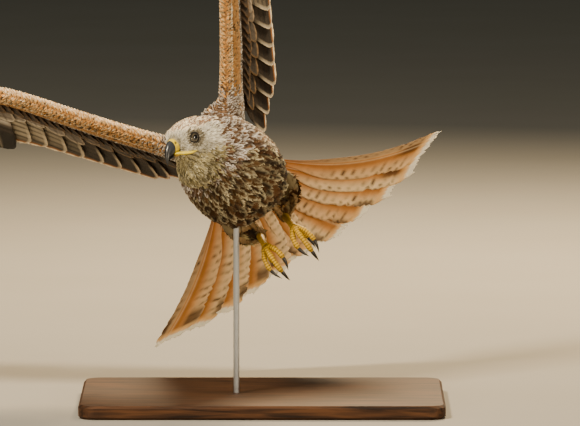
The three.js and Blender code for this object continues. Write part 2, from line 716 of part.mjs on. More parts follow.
const LOOKS = {
  plumage: [0x6b4a2f, 0.85, 0],
  pale: [0xcfc6b4, 0.85, 0],
  vane: [0xa0673a, 0.75, 0],
  horn: [0x23221f, 0.35, 0],
  yellow: [0xd9a521, 0.5, 0],
  iris: [0x4a4238, 0.1, 0],
  wood: [0x4b3325, 0.5, 0],
  steel: [0xb9bcc0, 0.3, 1],
};

function lookOf(name) {
  const [look] = [
    ['horn', /bill|claw/], ['yellow', /cere|tarsus|foot/], ['iris', /eye/], ['pale', /head|neck/],
    ['vane', /wing|tail/], ['wood', /base/], ['steel', /rod/], ['plumage', /./],
  ].find(([, pattern]) => pattern.test(name));
  const [color, roughness, metalness] = LOOKS[look];
  return new THREE.MeshStandardMaterial({ name: look, color, roughness, metalness });
}

function meshOf(name, solid) {
  const { vertProperties, triVerts } = largest(solid).getMesh();
  const geometry = new THREE.BufferGeometry();
  geometry.setAttribute('position', new THREE.BufferAttribute(vertProperties, 3));
  geometry.setIndex(new THREE.BufferAttribute(triVerts, 1));
  geometry.computeVertexNormals();
  const mesh = new THREE.Mesh(geometry, lookOf(name));
  mesh.name = name;
  return mesh;
}

function groupOf(nodes) {
  const group = new THREE.Group();
  for (const [name, solid] of Object.entries(nodes)) group.add(meshOf(name, solid));
  return group;
}

const trunkGrown = trunk(2 * GAP);
const bird = groupOf({
  torso: trunk(),
  ...headNodes(trunkGrown),
  ...wingNodes(WING_POSES[0], trunkGrown),
  ...wingNodes(WING_POSES[1], trunkGrown),
  ...tailNodes(trunkGrown),
  ...legNodes(LEGS[0], trunkGrown),
  ...legNodes(LEGS[1], trunkGrown),
});
bird.applyMatrix4(birdPlace);

const kite = new THREE.Group();
kite.add(bird, groupOf(standNodes(trunkGrown)));

export default kite;
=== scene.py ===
"""The looks of a red kite that banks in flight: skin, feathers, head, legs and display stand.

The bird is worked out in millimetres in its own frame, +X to the breast, +Y to its left and +Z to its
back, as the solids are, and each finished mesh is then placed in the frame of the model in metres.
"""

import math
from collections import namedtuple

import bpy
import numpy as np
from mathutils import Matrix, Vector, kdtree
from mathutils.bvhtree import BVHTree


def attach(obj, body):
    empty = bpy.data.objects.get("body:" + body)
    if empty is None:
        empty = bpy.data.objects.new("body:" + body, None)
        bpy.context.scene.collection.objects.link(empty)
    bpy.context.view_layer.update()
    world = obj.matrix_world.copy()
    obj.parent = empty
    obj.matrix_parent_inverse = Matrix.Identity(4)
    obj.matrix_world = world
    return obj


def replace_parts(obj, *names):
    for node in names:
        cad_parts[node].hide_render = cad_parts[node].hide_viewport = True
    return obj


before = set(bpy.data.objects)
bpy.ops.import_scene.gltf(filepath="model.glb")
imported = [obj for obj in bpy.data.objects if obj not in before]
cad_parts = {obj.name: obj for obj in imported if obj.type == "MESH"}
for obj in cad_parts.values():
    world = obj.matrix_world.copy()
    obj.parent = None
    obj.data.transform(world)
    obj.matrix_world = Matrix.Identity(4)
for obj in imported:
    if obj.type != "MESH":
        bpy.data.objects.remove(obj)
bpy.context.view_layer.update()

# Sizes shared with the solids, in millimetres and degrees
MM = 0.001
BODY_PLACE = np.array([-33.0, 0.0, 277.0])
FORWARD = (-0.13, -0.9796, 0.151)
LEFTWARD = (0.797, -0.0124, 0.6039)

EYE_MIDDLE = np.array([120.3, -20.0, 44.0])
HEAD_AHEAD = (0.85, -0.527, -0.028)
HEAD_UP = (0.255, 0.366, 0.895)
GAZE = np.array([0.30, 0.95, 0.02])
EYE_RADIUS = 7.6
EYE_OPENING = 6.0
EYE_SIDE = 12.8

SHOULDER = (47.0, 28.0, 37.0)
WRIST_OUT = 240.0
ELBOW = (104.0, -55.0)
WRIST = (240.0, 4.0)
HAND_END = 335.0
HAND_DROOP = 13.0
TIP_RISE = 12.0
WING_CAMBER = 0.00035
CAMBER_START = -40.0
WINGS = {
    "left": {"sign": 1, "dihedral": 54, "incidence": (2.5, 2.3), "seed": 11},
    "right": {"sign": -1, "dihedral": 54, "incidence": (3.5, 8.5), "seed": 23},
}
ARM_STATIONS = [
    [-34, 10, -58, 14], [0, 14, -72, 14], [50, 12, -76, 10.5], [104, 11, -76, 9.5], [175, 14, -44, 9],
    [240, 20, -14, 8], [285, 13, -12, 6.5], [335, 9, -8, 4.6], [349, 4, -4, 1.5],
]
SHOULDER_RISE = 20.0
PRIMARY_LENGTHS = [226, 232, 243, 265, 305, 350, 370, 362, 328, 262]
FIRST_FINGER = 5
SECONDARY_COUNT = 8
TERTIAL_COUNT = 3
VANE_ROLL = 0.12

TAIL_ROOT = np.array([-108.0, 0.0, 12.0])
TAIL_AXIS = (-0.926, -0.056, -0.372)
TAIL_SIDES = [
    {"sign": 1, "spread": 25.5, "sweep": 46, "root_side": 21, "middle": 262, "outer": 290, "seed": 5},
    {"sign": -1, "spread": 27, "sweep": 28, "root_side": 30, "middle": 255, "outer": 295, "seed": 8},
]
TAIL_PAIRS = 6

# Depths and steps of the coat, in millimetres
COAT_DEPTH = 5.0
HEAD_COAT_DEPTH = 2.2
THIGH_COAT_DEPTH = 2.6
CREASE_FILL = 7.0
SKIN_GROWTH = 0.6
SKIN_VOXEL = 2.2
LINE_STEPS = 3
BROW_RISE = 1.2
LORE_SINK = 1.0
LINES_PER_RADIAN = 26
LINE_LENGTH = 9.0
STREAKED_HEAD = 70.0
HEAD_REACH = 58.0
BACK_HEIGHT = 4.0
PLACES_TRIED = 140000
# Real barbs stand about 0.4 mm apart; they are drawn coarser, so that they show
BARB_SPACING = 1.7


# Small helpers
def unit(vectors):
    vectors = np.asarray(vectors, float)
    return vectors / np.maximum(np.linalg.norm(vectors, axis=-1, keepdims=True), 1e-9)


def ramp(low, high, value):
    """0 below low, 1 above high and smooth between them; low may be the larger."""
    share = np.clip((np.asarray(value, float) - low) / (high - low), 0, 1)
    return share * share * (3 - 2 * share)


def mix(a, b, share):
    return a + (b - a) * share


def stations(rows, place):
    """Smooth values between rows that each start with their place, for an array of places."""
    rows = np.asarray(rows, float)
    place = np.clip(np.asarray(place, float), rows[0, 0], rows[-1, 0])
    i = np.clip(np.searchsorted(rows[:, 0], place, side="right") - 1, 0, len(rows) - 2)
    share = ((place - rows[i, 0]) / (rows[i + 1, 0] - rows[i, 0]))[..., None]
    here, after = rows[i, 1:], rows[i + 1, 1:]
    slope_in = (after - rows[np.maximum(i - 1, 0), 1:]) / 2
    slope_out = (rows[np.minimum(i + 2, len(rows) - 1), 1:] - here) / 2
    cubic = (2 * share**3 - 3 * share**2 + 1) * here + (share**3 - 2 * share**2 + share) * slope_in
    return cubic + (-2 * share**3 + 3 * share**2) * after + (share**3 - share**2) * slope_out


def profile(rows, place):
    """The one value of each row of stations."""
    return stations(rows, place)[:, 0]


def linear(colour):
    """A colour from its sRGB hex digits, as the renderer wants it."""
    parts = [int(colour[i:i + 2], 16) / 255 for i in (1, 3, 5)]
    return np.array([p / 12.92 if p <= 0.04045 else ((p + 0.055) / 1.055) ** 2.4 for p in parts])


def rgba(colour):
    return (*linear(colour), 1.0)


def plain(colour, points):
    """One colour for every point."""
    return np.tile(linear(colour), (len(points), 1))


def blended(first, second, share):
    """A colour for every point, from one colour to another by its share."""
    return mix(linear(first), linear(second), share[:, None])


def laid_flat(ways, normals):
    """Directions turned into the surface that has these normals."""
    return unit(ways - normals * (ways * normals).sum(axis=1, keepdims=True))


# Frames of the bird and its head, as rows of ahead, left and up
def axes(ahead, up):
    ahead = unit(ahead)
    left = unit(np.cross(up, ahead))
    return np.array([ahead, left, np.cross(ahead, left)])


BIRD = axes(FORWARD, np.cross(unit(FORWARD), LEFTWARD))
HEAD = axes(HEAD_AHEAD, HEAD_UP)


def to_world(points):
    return (np.asarray(points) @ BIRD + BODY_PLACE) * MM


def to_bird(points):
    return (np.asarray(points) / MM - BODY_PLACE) @ BIRD.T


def in_head(points):
    return EYE_MIDDLE + np.asarray(points, float) @ HEAD


def head_local(points):
    return (points - EYE_MIDDLE) @ HEAD.T


BILL_BASE = in_head([20, 0, -4])


def from_bill(points):
    """Distance of each point from the root of the bill."""
    return np.linalg.norm(points - BILL_BASE, axis=1)


# Materials
def node(tree, kind, links=(), **settings):
    """Adds a shader node; links are (socket of this node, node, socket of that node)."""
    made = tree.nodes.new(kind)
    for name, value in settings.items():
        if hasattr(made, name):
            setattr(made, name, value)
        else:
            made.inputs[name.replace("_", " ")].default_value = value
    for socket, other, output in links:
        tree.links.new(other.outputs[output], made.inputs[socket])
    return made


def new_material(name, **settings):
    material = bpy.data.materials.new(name)
    material.use_nodes = True
    tree = material.node_tree
    shader = tree.nodes["Principled BSDF"]
    for socket, value in settings.items():
        shader.inputs[socket.replace("_", " ")].default_value = value
    return material, tree, shader


def feather_material(name, roughness, barb_depth, gloss):
    """Feather keratin: dull, with fine barbs that run out from the shaft and break the light."""
    material, tree, shader = new_material(name, Roughness=roughness, Specular_IOR_Level=gloss)
    colour = node(tree, "ShaderNodeAttribute", attribute_name="plumage")
    barb = node(tree, "ShaderNodeAttribute", attribute_name="barb")
    turns = node(tree, "ShaderNodeMath", [(0, barb, "Fac")], operation="MULTIPLY")
    turns.inputs[1].default_value = 2 * math.pi / BARB_SPACING
    wave = node(tree, "ShaderNodeMath", [(0, turns, 0)], operation="SINE")
    place = node(tree, "ShaderNodeTexCoord")
    # Patches of wear and dust about 15 mm across
    wear = node(tree, "ShaderNodeTexNoise", [("Vector", place, "Object")], Scale=66.0, Detail=4.0)
    tone = node(tree, "ShaderNodeMapRange", [("Value", wear, "Fac")],
                From_Min=0.3, From_Max=0.7, To_Min=0.86, To_Max=1.08)
    streak = node(tree, "ShaderNodeMapRange", [("Value", wave, 0)],
                  From_Min=-1.0, From_Max=1.0, To_Min=0.9, To_Max=1.03)
    both = node(tree, "ShaderNodeMath", [(0, tone, 0), (1, streak, 0)], operation="MULTIPLY")
    inputs = [(0, colour, "Color"), ("Scale", both, 0)]
    shade = node(tree, "ShaderNodeVectorMath", inputs, operation="SCALE")
    bump = node(tree, "ShaderNodeBump", [("Height", wave, 0)], Strength=0.35, Distance=barb_depth * MM)
    tree.links.new(shade.outputs[0], shader.inputs["Base Color"])
    tree.links.new(bump.outputs[0], shader.inputs["Normal"])
    return material


def painted_material(name, roughness, coat, grain_scale, grain_depth, gloss=0.5):
    """A living surface whose colour comes with its mesh, with a fine grain of its own."""
    material, tree, shader = new_material(
        name, Roughness=roughness, Coat_Weight=coat, Specular_IOR_Level=gloss
    )
    colour = node(tree, "ShaderNodeAttribute", attribute_name="plumage")
    place = node(tree, "ShaderNodeTexCoord")
    grain = node(tree, "ShaderNodeTexNoise", [("Vector", place, "Object")], Scale=grain_scale, Detail=5.0)
    tone = node(tree, "ShaderNodeMapRange", [("Value", grain, "Fac")],
                From_Min=0.3, From_Max=0.7, To_Min=0.85, To_Max=1.08)
    inputs = [(0, colour, "Color"), ("Scale", tone, 0)]
    shade = node(tree, "ShaderNodeVectorMath", inputs, operation="SCALE")
    bump = node(tree, "ShaderNodeBump", [("Height", grain, "Fac")], Strength=0.5, Distance=grain_depth * MM)
    tree.links.new(shade.outputs[0], shader.inputs["Base Color"])
    tree.links.new(bump.outputs[0], shader.inputs["Normal"])
    return material


def wood_material():
    """Oiled walnut: dark and matt, with long grain along the base in streaks about 5 mm wide."""
    material, tree, shader = new_material("walnut_oiled", Roughness=0.6, Specular_IOR_Level=0.15)
    place = node(tree, "ShaderNodeTexCoord")
    along = node(tree, "ShaderNodeMapping", [("Vector", place, "Object")])
    along.inputs["Scale"].default_value = (4.0, 60.0, 60.0)
    grain = node(tree, "ShaderNodeTexNoise", [("Vector", along, 0)], Scale=3.0, Detail=8.0, Distortion=0.6)
    tones = node(tree, "ShaderNodeValToRGB", [("Fac", grain, "Fac")])
    dark, light = tones.color_ramp.elements
    dark.position, dark.color = 0.35, rgba("#1d120b")
    light.position, light.color = 0.68, rgba("#4e321d")
    bump = node(tree, "ShaderNodeBump", [("Height", grain, "Fac")], Strength=0.2, Distance=0.3 * MM)
    tree.links.new(tones.outputs["Color"], shader.inputs["Base Color"])
    tree.links.new(bump.outputs[0], shader.inputs["Normal"])
    return material


def steel_material():
    """Brushed stainless steel: lines round the rod, 0.7 mm apart, spread its gleam along it."""
    material, tree, shader = new_material("stainless_steel_brushed", Metallic=1.0)
    shader.inputs["Base Color"].default_value = rgba("#b9bcc0")
    place = node(tree, "ShaderNodeTexCoord")
    along = node(tree, "ShaderNodeMapping", [("Vector", place, "Object")])
    along.inputs["Scale"].default_value = (20.0, 20.0, 1500.0)
    lines = node(tree, "ShaderNodeTexNoise", [("Vector", along, 0)], Scale=1.0, Detail=3.0)
    gloss = node(tree, "ShaderNodeMapRange", [("Value", lines, "Fac")], To_Min=0.22, To_Max=0.42)
    tree.links.new(gloss.outputs[0], shader.inputs["Roughness"])
    return material


def floor_material():
    """Pale matt studio paper with a faint mottle, which throws soft light up at the bird."""
    material, tree, shader = new_material("studio_paper", Roughness=1.0, Specular_IOR_Level=0.0)
    place = node(tree, "ShaderNodeTexCoord")
    mottle = node(tree, "ShaderNodeTexNoise", [("Vector", place, "Object")], Scale=3.0, Detail=2.0)
    tones = node(tree, "ShaderNodeValToRGB", [("Fac", mottle, "Fac")])
    dark, light = tones.color_ramp.elements
    dark.color, light.color = rgba("#8d8a82"), rgba("#93908a")
    tree.links.new(tones.outputs["Color"], shader.inputs["Base Color"])
    return material


# Small feathers are soft and dull, and the stiff vanes of wings and tail have a faint sheen
CONTOUR = feather_material("contour_feather_keratin", 0.8, 0.25, 0.2)
FLIGHT = feather_material("flight_feather_keratin", 0.68, 0.3, 0.12)
# Grain is in spots to the metre: 400 are 2.5 mm across and 900 about 1 mm
SKIN = painted_material("feathered_skin", 0.9, 0.0, 400.0, 0.3)
# Dry scales of the legs gleam a little, and the wax of the cere more
SCUTES = painted_material("scaled_leg_skin", 0.55, 0.0, 900.0, 0.15, gloss=0.25)
CERE = painted_material("waxy_cere", 0.4, 0.15, 700.0, 0.12)
# Horn is worn smooth, and the wet eye catches a sharp light
HORN = painted_material("horn_of_bill_and_claws", 0.38, 0.1, 500.0, 0.06)
CORNEA = painted_material("wet_eye", 0.06, 1.0, 900.0, 0.01)


# Meshes
def dress(mesh, material, colours, barb=None, bake=None):
    """Gives a mesh its material, its colours and, where it has them, its barbs and its bake map."""
    colours = np.column_stack([colours, np.ones(len(colours))]).astype(np.float32)
    painted = mesh.color_attributes.new("plumage", "FLOAT_COLOR", "POINT")
    painted.data.foreach_set("color", colours.ravel())
    if barb is not None:
        mesh.attributes.new("barb", "FLOAT", "POINT").data.foreach_set("value", barb.astype(np.float32))
    if bake is not None:
        corners = np.zeros(len(mesh.loops), np.int32)
        mesh.loops.foreach_get("vertex_index", corners)
        uv = bake[corners].astype(np.float32)
        mesh.uv_layers.new(name="OFBake").data.foreach_set("uv", uv.ravel())
    mesh.materials.append(material)


def piece(name, points, faces, material, colours, barb=None, bake=None):
    """A finished mesh from points in the bird's frame; a face that repeats a corner is a triangle."""
    mesh = bpy.data.meshes.new(name)
    if faces.shape[1] == 4:
        faces = [tuple(dict.fromkeys(face)) for face in faces.tolist()]
    mesh.from_pydata(to_world(points), [], faces, shade_flat=False)
    dress(mesh, material, colours, barb, bake)
    made = bpy.data.objects.new(name, mesh)
    bpy.context.scene.collection.objects.link(made)
    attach(made, "root")
    return made


def in_map(across, along):
    """Places on the bake map, just inside its edge, from shares across and along it."""
    return np.column_stack([0.03 + 0.94 * across, 0.03 + 0.94 * along])


def joined(parts):
    """Several (points, faces) as one."""
    firsts = np.cumsum([0] + [len(points) for points, _ in parts])
    faces = [part[1] + first for part, first in zip(parts, firsts)]
    return np.concatenate([points for points, _ in parts]), np.concatenate(faces)


def feather_piece(name, material, feathers):
    """One piece from the (points, faces, colours, barb, bake) of each feather or field of feathers."""
    points, faces = joined([feather[:2] for feather in feathers])
    colours, barb, bake = (np.concatenate(values) for values in list(zip(*feathers))[2:])
    return piece(name, points, faces, material, colours, barb, bake)


def outward(points, faces):
    """The faces of a closed shape, turned so that they point outwards."""
    a, b, c, d = (points[faces[:, k]] - points[0] for k in (0, 1, 2, 3))
    volume = (a * np.cross(b, c)).sum() + (a * np.cross(c, d)).sum()
    return faces[:, ::-1] if volume < 0 else faces


def closed_tube(points, rings, sides):
    """Points and faces of a tube of rings, closed at each end by a fan, whose faces repeat a corner."""
    here = np.arange(sides)
    after = (here + 1) % sides
    first = np.repeat(np.arange(rings - 1) * sides, sides)
    a, b = first + np.tile(here, rings - 1), first + np.tile(after, rings - 1)
    last = (rings - 1) * sides
    first_centre, last_centre = np.full(sides, rings * sides), np.full(sides, rings * sides + 1)
    faces = np.concatenate([
        np.stack([a, b, b + sides, a + sides], -1),
        np.stack([after, here, first_centre, first_centre], -1),
        np.stack([last + here, last + after, last_centre, last_centre], -1),
    ])
    points = np.concatenate([points, [points[:sides].mean(axis=0), points[-sides:].mean(axis=0)]])
    return points, outward(points, faces)


def lengths_along(line):
    """How far along a line of points each of them lies."""
    return np.r_[0, np.cumsum(np.linalg.norm(np.diff(line, axis=0), axis=1))]


def curve_through(points, steps):
    """A smooth curve through the points, in equal steps."""
    points = np.asarray(points, float)
    rows = np.column_stack([np.arange(len(points)), points])
    fine = stations(rows, np.linspace(0, len(points) - 1, 20 * steps))
    lengths = lengths_along(fine)
    even = np.linspace(0, lengths[-1], steps)
    return np.column_stack([np.interp(even, lengths, fine[:, k]) for k in range(3)])


def bar(line, radii, sides):
    """A closed round bar along a line of points."""
    tangents = unit(np.gradient(line, axis=0))
    normal = unit(np.cross(tangents[0], (0.3, 0.2, 1.0)))
    turn = np.linspace(0, 2 * np.pi, sides, endpoint=False)
    rings = []
    for centre, tangent, radius in zip(line, tangents, radii):
        normal = unit(normal - tangent * (normal @ tangent))
        side = np.cross(tangent, normal)
        rings.append(centre + radius * (np.outer(np.cos(turn), normal) + np.outer(np.sin(turn), side)))
    return closed_tube(np.concatenate(rings), len(line), sides)


# Skin: the solids of flesh in one smooth surface, drawn in by the depth of the coat
def on_thigh(points):
    """True on the feathered thighs."""
    low = points[:, 2] < -58 + 0.12 * (points[:, 0] + 20)
    return low & (points[:, 0] < 24) & (points[:, 0] > -75)


def coat_depth(points):
    """How far the skin lies inside the solids at each point."""
    on_head = ramp(48, 30, np.linalg.norm(head_local(points) + (12, 0, 0), axis=1))
    depth = mix(COAT_DEPTH, HEAD_COAT_DEPTH, on_head)
    return np.where(on_thigh(points), np.minimum(depth, THIGH_COAT_DEPTH), depth)


def brow_rise(points):
    """How far the skin stands out over each eye and sinks in front of it."""
    x, y, z = head_local(points).T
    beside = ramp(6, 10, np.abs(y))
    brow = np.exp(-((x - 3) / 9) ** 2 - ((z - 10) / 3.2) ** 2)
    hollow = np.exp(-((x - 10) / 5) ** 2 - ((z + 1) / 5) ** 2)
    return beside * (BROW_RISE * brow - LORE_SINK * hollow)


def surface_of(mesh_object):
    """Points, normals and triangles of a mesh, in the bird's frame."""
    mesh = mesh_object.data
    mesh.calc_loop_triangles()
    points = np.zeros(len(mesh.vertices) * 3)
    mesh.vertices.foreach_get("co", points)
    normals = np.zeros(len(mesh.vertices) * 3)
    mesh.vertices.foreach_get("normal", normals)
    triangles = np.zeros(len(mesh.loop_triangles) * 3, np.int32)
    mesh.loop_triangles.foreach_get("vertices", triangles)
    return to_bird(points.reshape(-1, 3)), normals.reshape(-1, 3) @ BIRD.T, triangles.reshape(-1, 3)


def shape_by(made, kind, **settings):
    """Puts a modifier on an object and applies it."""
    modifier = made.modifiers.new(kind.lower(), kind)
    for key, value in settings.items():
        setattr(modifier, key, value)
    bpy.context.view_layer.objects.active = made
    bpy.ops.object.modifier_apply(modifier=modifier.name)


def joined_flesh():
    """One object from copies of the solids of flesh."""
    bpy.ops.object.select_all(action="DESELECT")
    for name in ("torso", "neck", "head", "thigh_left", "thigh_right"):
        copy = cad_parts[name].copy()
        copy.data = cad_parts[name].data.copy()
        copy.parent = None
        for key in list(copy.keys()):
            del copy[key]
        bpy.context.scene.collection.objects.link(copy)
        copy.select_set(True)
        if name == "torso":
            bpy.context.view_layer.objects.active = copy
    bpy.ops.object.join()
    flesh = bpy.context.view_layer.objects.active
    bpy.ops.object.mode_set(mode="EDIT")
    bpy.ops.mesh.select_all(action="SELECT")
    bpy.ops.mesh.remove_doubles(threshold=0.01 * MM)
    bpy.ops.object.mode_set(mode="OBJECT")
    return flesh


def skin_piece():
    """The flesh grown until its creases close, drawn back, and then sunk by the depth of the coat."""
    skin = joined_flesh()
    shape_by(skin, "DISPLACE", strength=CREASE_FILL * MM, mid_level=0)
    shape_by(skin, "REMESH", mode="VOXEL", voxel_size=SKIN_VOXEL * MM)
    shape_by(skin, "SMOOTH", factor=0.5, iterations=6)
    shape_by(skin, "DISPLACE", strength=(SKIN_GROWTH - CREASE_FILL) * MM, mid_level=0)
    shape_by(skin, "SMOOTH", factor=0.5, iterations=4)
    points, normals, _ = surface_of(skin)
    points = points - normals * (coat_depth(points) + SKIN_GROWTH - brow_rise(points))[:, None]
    skin.data.vertices.foreach_set("co", to_world(points).ravel())
    skin.data.update()
    shape_by(skin, "SMOOTH", factor=0.5, iterations=4)
    finish_skin(skin)
    return skin


def finish_skin(skin):
    """The coat's colours, shaded by the feathers above, and the coat's own unwrap."""
    skin.name = "skin"
    mesh = skin.data
    while mesh.uv_layers:
        mesh.uv_layers.remove(mesh.uv_layers[0])
    mesh.materials.clear()
    points, _, _ = surface_of(skin)
    shade = 0.5 * region_values(PLUMAGE, "base") + 0.2 * region_values(PLUMAGE, "fringe")
    dress(mesh, SKIN, plumage_shares(points) @ shade, bake=body_unwrap(points))
    bpy.ops.object.select_all(action="DESELECT")
    skin.select_set(True)
    bpy.ops.object.shade_smooth()
    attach(skin, "root")
    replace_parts(skin, "torso", "neck", "head", "thigh_left", "thigh_right")


# The body's unwrap: round a line from bill to tail, with the line's length the other way
SPINE = np.array([
    in_head([30, 0, -4]), in_head([0, 0, -4]), [84, -2, 20], [40, 0, 0], [-40, 0, -8], [-135, 0, 12],
])


def body_unwrap(points):
    lengths = lengths_along(SPINE)
    best = np.full(len(points), np.inf)
    along = np.zeros(len(points))
    angle = np.zeros(len(points))
    for i in range(len(SPINE) - 1):
        start, way = SPINE[i], SPINE[i + 1] - SPINE[i]
        share = np.clip((points - start) @ way / (way @ way), 0, 1)
        offset = points - start - share[:, None] * way
        distance = np.linalg.norm(offset, axis=1)
        nearer = distance < best
        best = np.where(nearer, distance, best)
        along = np.where(nearer, lengths[i] + share * np.linalg.norm(way), along)
        angle = np.where(nearer, np.arctan2(offset[:, 1], offset[:, 2]), angle)
    return in_map(angle / (2 * np.pi) + 0.5, along / lengths[-1])


# Plumage: the colours of each part of the coat, how wide the streak along the shaft is as a share of the
# feather, how many of the feathers have one, and how strong the fringe is that hooks round the end
Look = namedtuple("Look", "base streak fringe wide streaked fringed")
PLUMAGE = {
    "crown": Look("#fbe9c8", "#7a4412", "#fffaec", 1.0, 0.5, 0.2),
    "face": Look("#c9c2ab", "#5f5744", "#fbf7ea", 0.5, 0.45, 0.6),
    # Round each eye: partly the bird's own dark feathers, partly painted shade under the brow
    "eye_patch_and_brow_shade": Look("#7a705c", "#413a2e", "#a89f88", 0.6, 0.5, 0.3),
    "throat": Look("#b0a270", "#463c20", "#f2e9c8", 0.9, 0.45, 0.35),
    "nape": Look("#5c4024", "#352213", "#fffaf0", 0.5, 0.5, 0.78),
    "foreneck": Look("#4a3110", "#221506", "#efe4bc", 0.6, 0.6, 0.5),
    "breast": Look("#523416", "#1a1005", "#f2e4b8", 0.7, 0.7, 0.4),
    "belly": Look("#3f270a", "#150d04", "#d9c488", 0.7, 0.7, 0.42),
    "side": Look("#684322", "#271606", "#f8ebcc", 0.6, 0.65, 0.5),
    "thigh": Look("#8a6230", "#4a3416", "#d4b880", 0.5, 0.4, 0.3),
    "vent": Look("#a0733e", "#5a3c1a", "#dcb986", 0.3, 0.5, 0.4),
    "mantle": Look("#37261a", "#1c120d", "#a66a34", 0.4, 0.6, 0.7),
    "rump": Look("#97602e", "#462c15", "#c99a62", 0.3, 0.7, 0.6),
}
ARM_PLUMAGE = {
    "line": Look("#efe3c4", "#cdb98c", "#fff8e4", 0.4, 0.3, 0.8),
    "spotted": Look("#b9803e", "#170e05", "#f0d6a4", 0.95, 0.85, 0.6),
    "tan": Look("#ae7a3e", "#1c1208", "#dab67c", 0.9, 0.12, 0.35),
    "pied": Look("#3a2a17", "#1a110a", "#f5f0e6", 0.5, 0.6, 0.55),
    "top": Look("#c89a5a", "#7c5222", "#fff6e0", 0.6, 0.35, 0.85),
    "upper": Look("#6b401a", "#24180e", "#b07c40", 0.35, 0.8, 0.5),
    "shoulder": Look("#61472c", "#372515", "#fffaf0", 0.6, 0.5, 0.85),
}
ARM_REGIONS = list(ARM_PLUMAGE)


def region_values(table, key):
    """One column of a table of looks, with colours made linear, and a row for each region."""
    values = [getattr(look, key) for look in table.values()]
    return np.array([linear(value) if isinstance(value, str) else value for value in values])


def looks_of(table, regions, draws):
    """The looks of feathers that each belong to a numbered region of a table."""
    count = len(regions)
    looks = {key: region_values(table, key)[regions] for key in Look._fields}
    looks["wide"] = looks["wide"] * (0.75 + 0.5 * draws.random(count))
    looks["streaked"] = np.where(draws.random(count) < looks["streaked"], 0.95, 0.1)
    # The fringe is strong in some feathers and all but missing in others
    looks["fringed"] = np.clip(looks["fringed"] * draws.choice([0.15, 1.0, 2.2], count), 0, 0.97)
    return looks


def plumage_shares(points):
    """How much each region of the plumage counts at each point."""
    x, y, z = head_local(points).T
    front, left, up = points.T
    distance = from_bill(points)
    from_eye = (np.column_stack([x, np.abs(y), z]) - (3, EYE_SIDE + 4, -1)) * (0.9, 1, 1.1)
    head = ramp(66, 48, distance)
    crown = head * ramp(5, 12, z - 0.1 * x)
    throat = head * ramp(-12, -20, z - 0.2 * x)
    # The dark patch round each eye, with painted shade under the brow in it
    eye = head * ramp(11.2, 8.6, np.linalg.norm(from_eye, axis=1) - 0.06 * x) * ramp(12, 7, z)
    body = 1 - head
    neck = ramp(112, 88, distance) * body
    upper = ramp(-10, 12, up + 0.1 * (front - 60))
    ahead = ramp(-50, 0, front)
    trunk = body - neck
    # The white of the nape runs on over the left shoulder
    left_shoulder = trunk * ramp(30, 60, front) * ramp(0, 20, up) * ramp(-10, 10, left)
    shares = {
        "crown": crown,
        "eye_patch_and_brow_shade": eye * 4,
        "throat": throat * 1.5,
        "face": np.clip(head - crown - throat, 0, 1),
        "nape": neck * upper * 1.4 + 1.5 * left_shoulder,
        "foreneck": neck * (1 - upper),
        "breast": trunk * ahead * (1 - upper),
        "belly": trunk * ramp(30, -20, front) * ramp(0, -25, up) * 1.5,
        "side": trunk * ahead * ramp(-26, 2, up) * ramp(42, 26, up) * 1.5,
        "vent": body * ramp(-70, -95, front) * ramp(8, -4, up) * 3,
        "mantle": trunk * ramp(30, 42, up) * ramp(-50, -20, front) * 2.5,
        "rump": trunk * ramp(-30, -62, front) * ramp(4, 14, up) * 3,
        "thigh": on_thigh(points) * 8.0,
    }
    table = np.column_stack([shares[name] for name in PLUMAGE]) + 1e-6
    return table / table.sum(axis=1, keepdims=True)


# One small feather: free barbs in clumps on both sides of its shaft, and a tip
def tuft_shape(clumps):
    """Places along, across and out to the edge for one feather, and its triangles."""
    along, across, edge, faces = [], [], [], []
    for side in (-1, 1):
        for i in range(clumps):
            start, end = i / clumps * 0.86, (i + 1.35) / clumps * 0.86
            a = len(along)
            along += [start, end, start + 0.10, end + 0.06, end + 0.13]
            across += [0, 0, side * 0.62, side * 0.6, side * 1.0]
            edge += [0, 0, 0.6, 0.6, 1]
            clump = [(a, a + 2, a + 1), (a + 1, a + 2, a + 3), (a + 2, a + 4, a + 3)]
            faces += clump if side < 0 else [face[::-1] for face in clump]
    a = len(along)
    along += [0.8, 0.8, 1.06]
    across += [-0.55, 0.55, 0.0]
    edge += [0.4, 0.4, 1]
    faces.append((a, a + 1, a + 2))
    return np.array(along), np.array(across), np.array(edge), np.array(faces)


def outline_width(along):
    """Half width of a small feather along its length."""
    return np.clip(np.sin(np.pi * np.clip(along * 0.86 + 0.1, 0, 1)) ** 0.7, 0.12, 1)


def along_line(line, reach):
    """Values at a share of each feather's length, from its few steps along the skin."""
    place = np.clip(reach, 0, 1.2) * (line.shape[1] - 1)
    step = np.minimum(place.astype(int), line.shape[1] - 2)
    share = (place - step)[..., None]
    number = np.arange(len(line))[:, None]
    return mix(line[number, step], line[number, step + 1], share)


def feather_points(field, shape, jitter, draws):
    """Where the corners of each feather lie: they rise from the skin and then run on along it."""
    along, across, edge = shape
    reach = along + 0.045 * jitter * edge
    spread = across * outline_width(along) * (1 + 0.10 * draws.normal(0, 1, jitter.shape) * edge)
    widths = field["width"][:, None]
    lift = field["depth"][:, None] * (1 - (1 - np.clip(reach, 0, 1)) ** 1.7)
    lift = lift - 0.22 * widths * spread**2 + 0.05 * widths * jitter * edge
    ups = along_line(field["ups"], reach)
    sides = unit(np.cross(ups, field["way"][:, None]))
    shaft = along_line(field["line"], reach)
    return shaft + sides * (widths * spread)[..., None] + ups * lift[..., None]


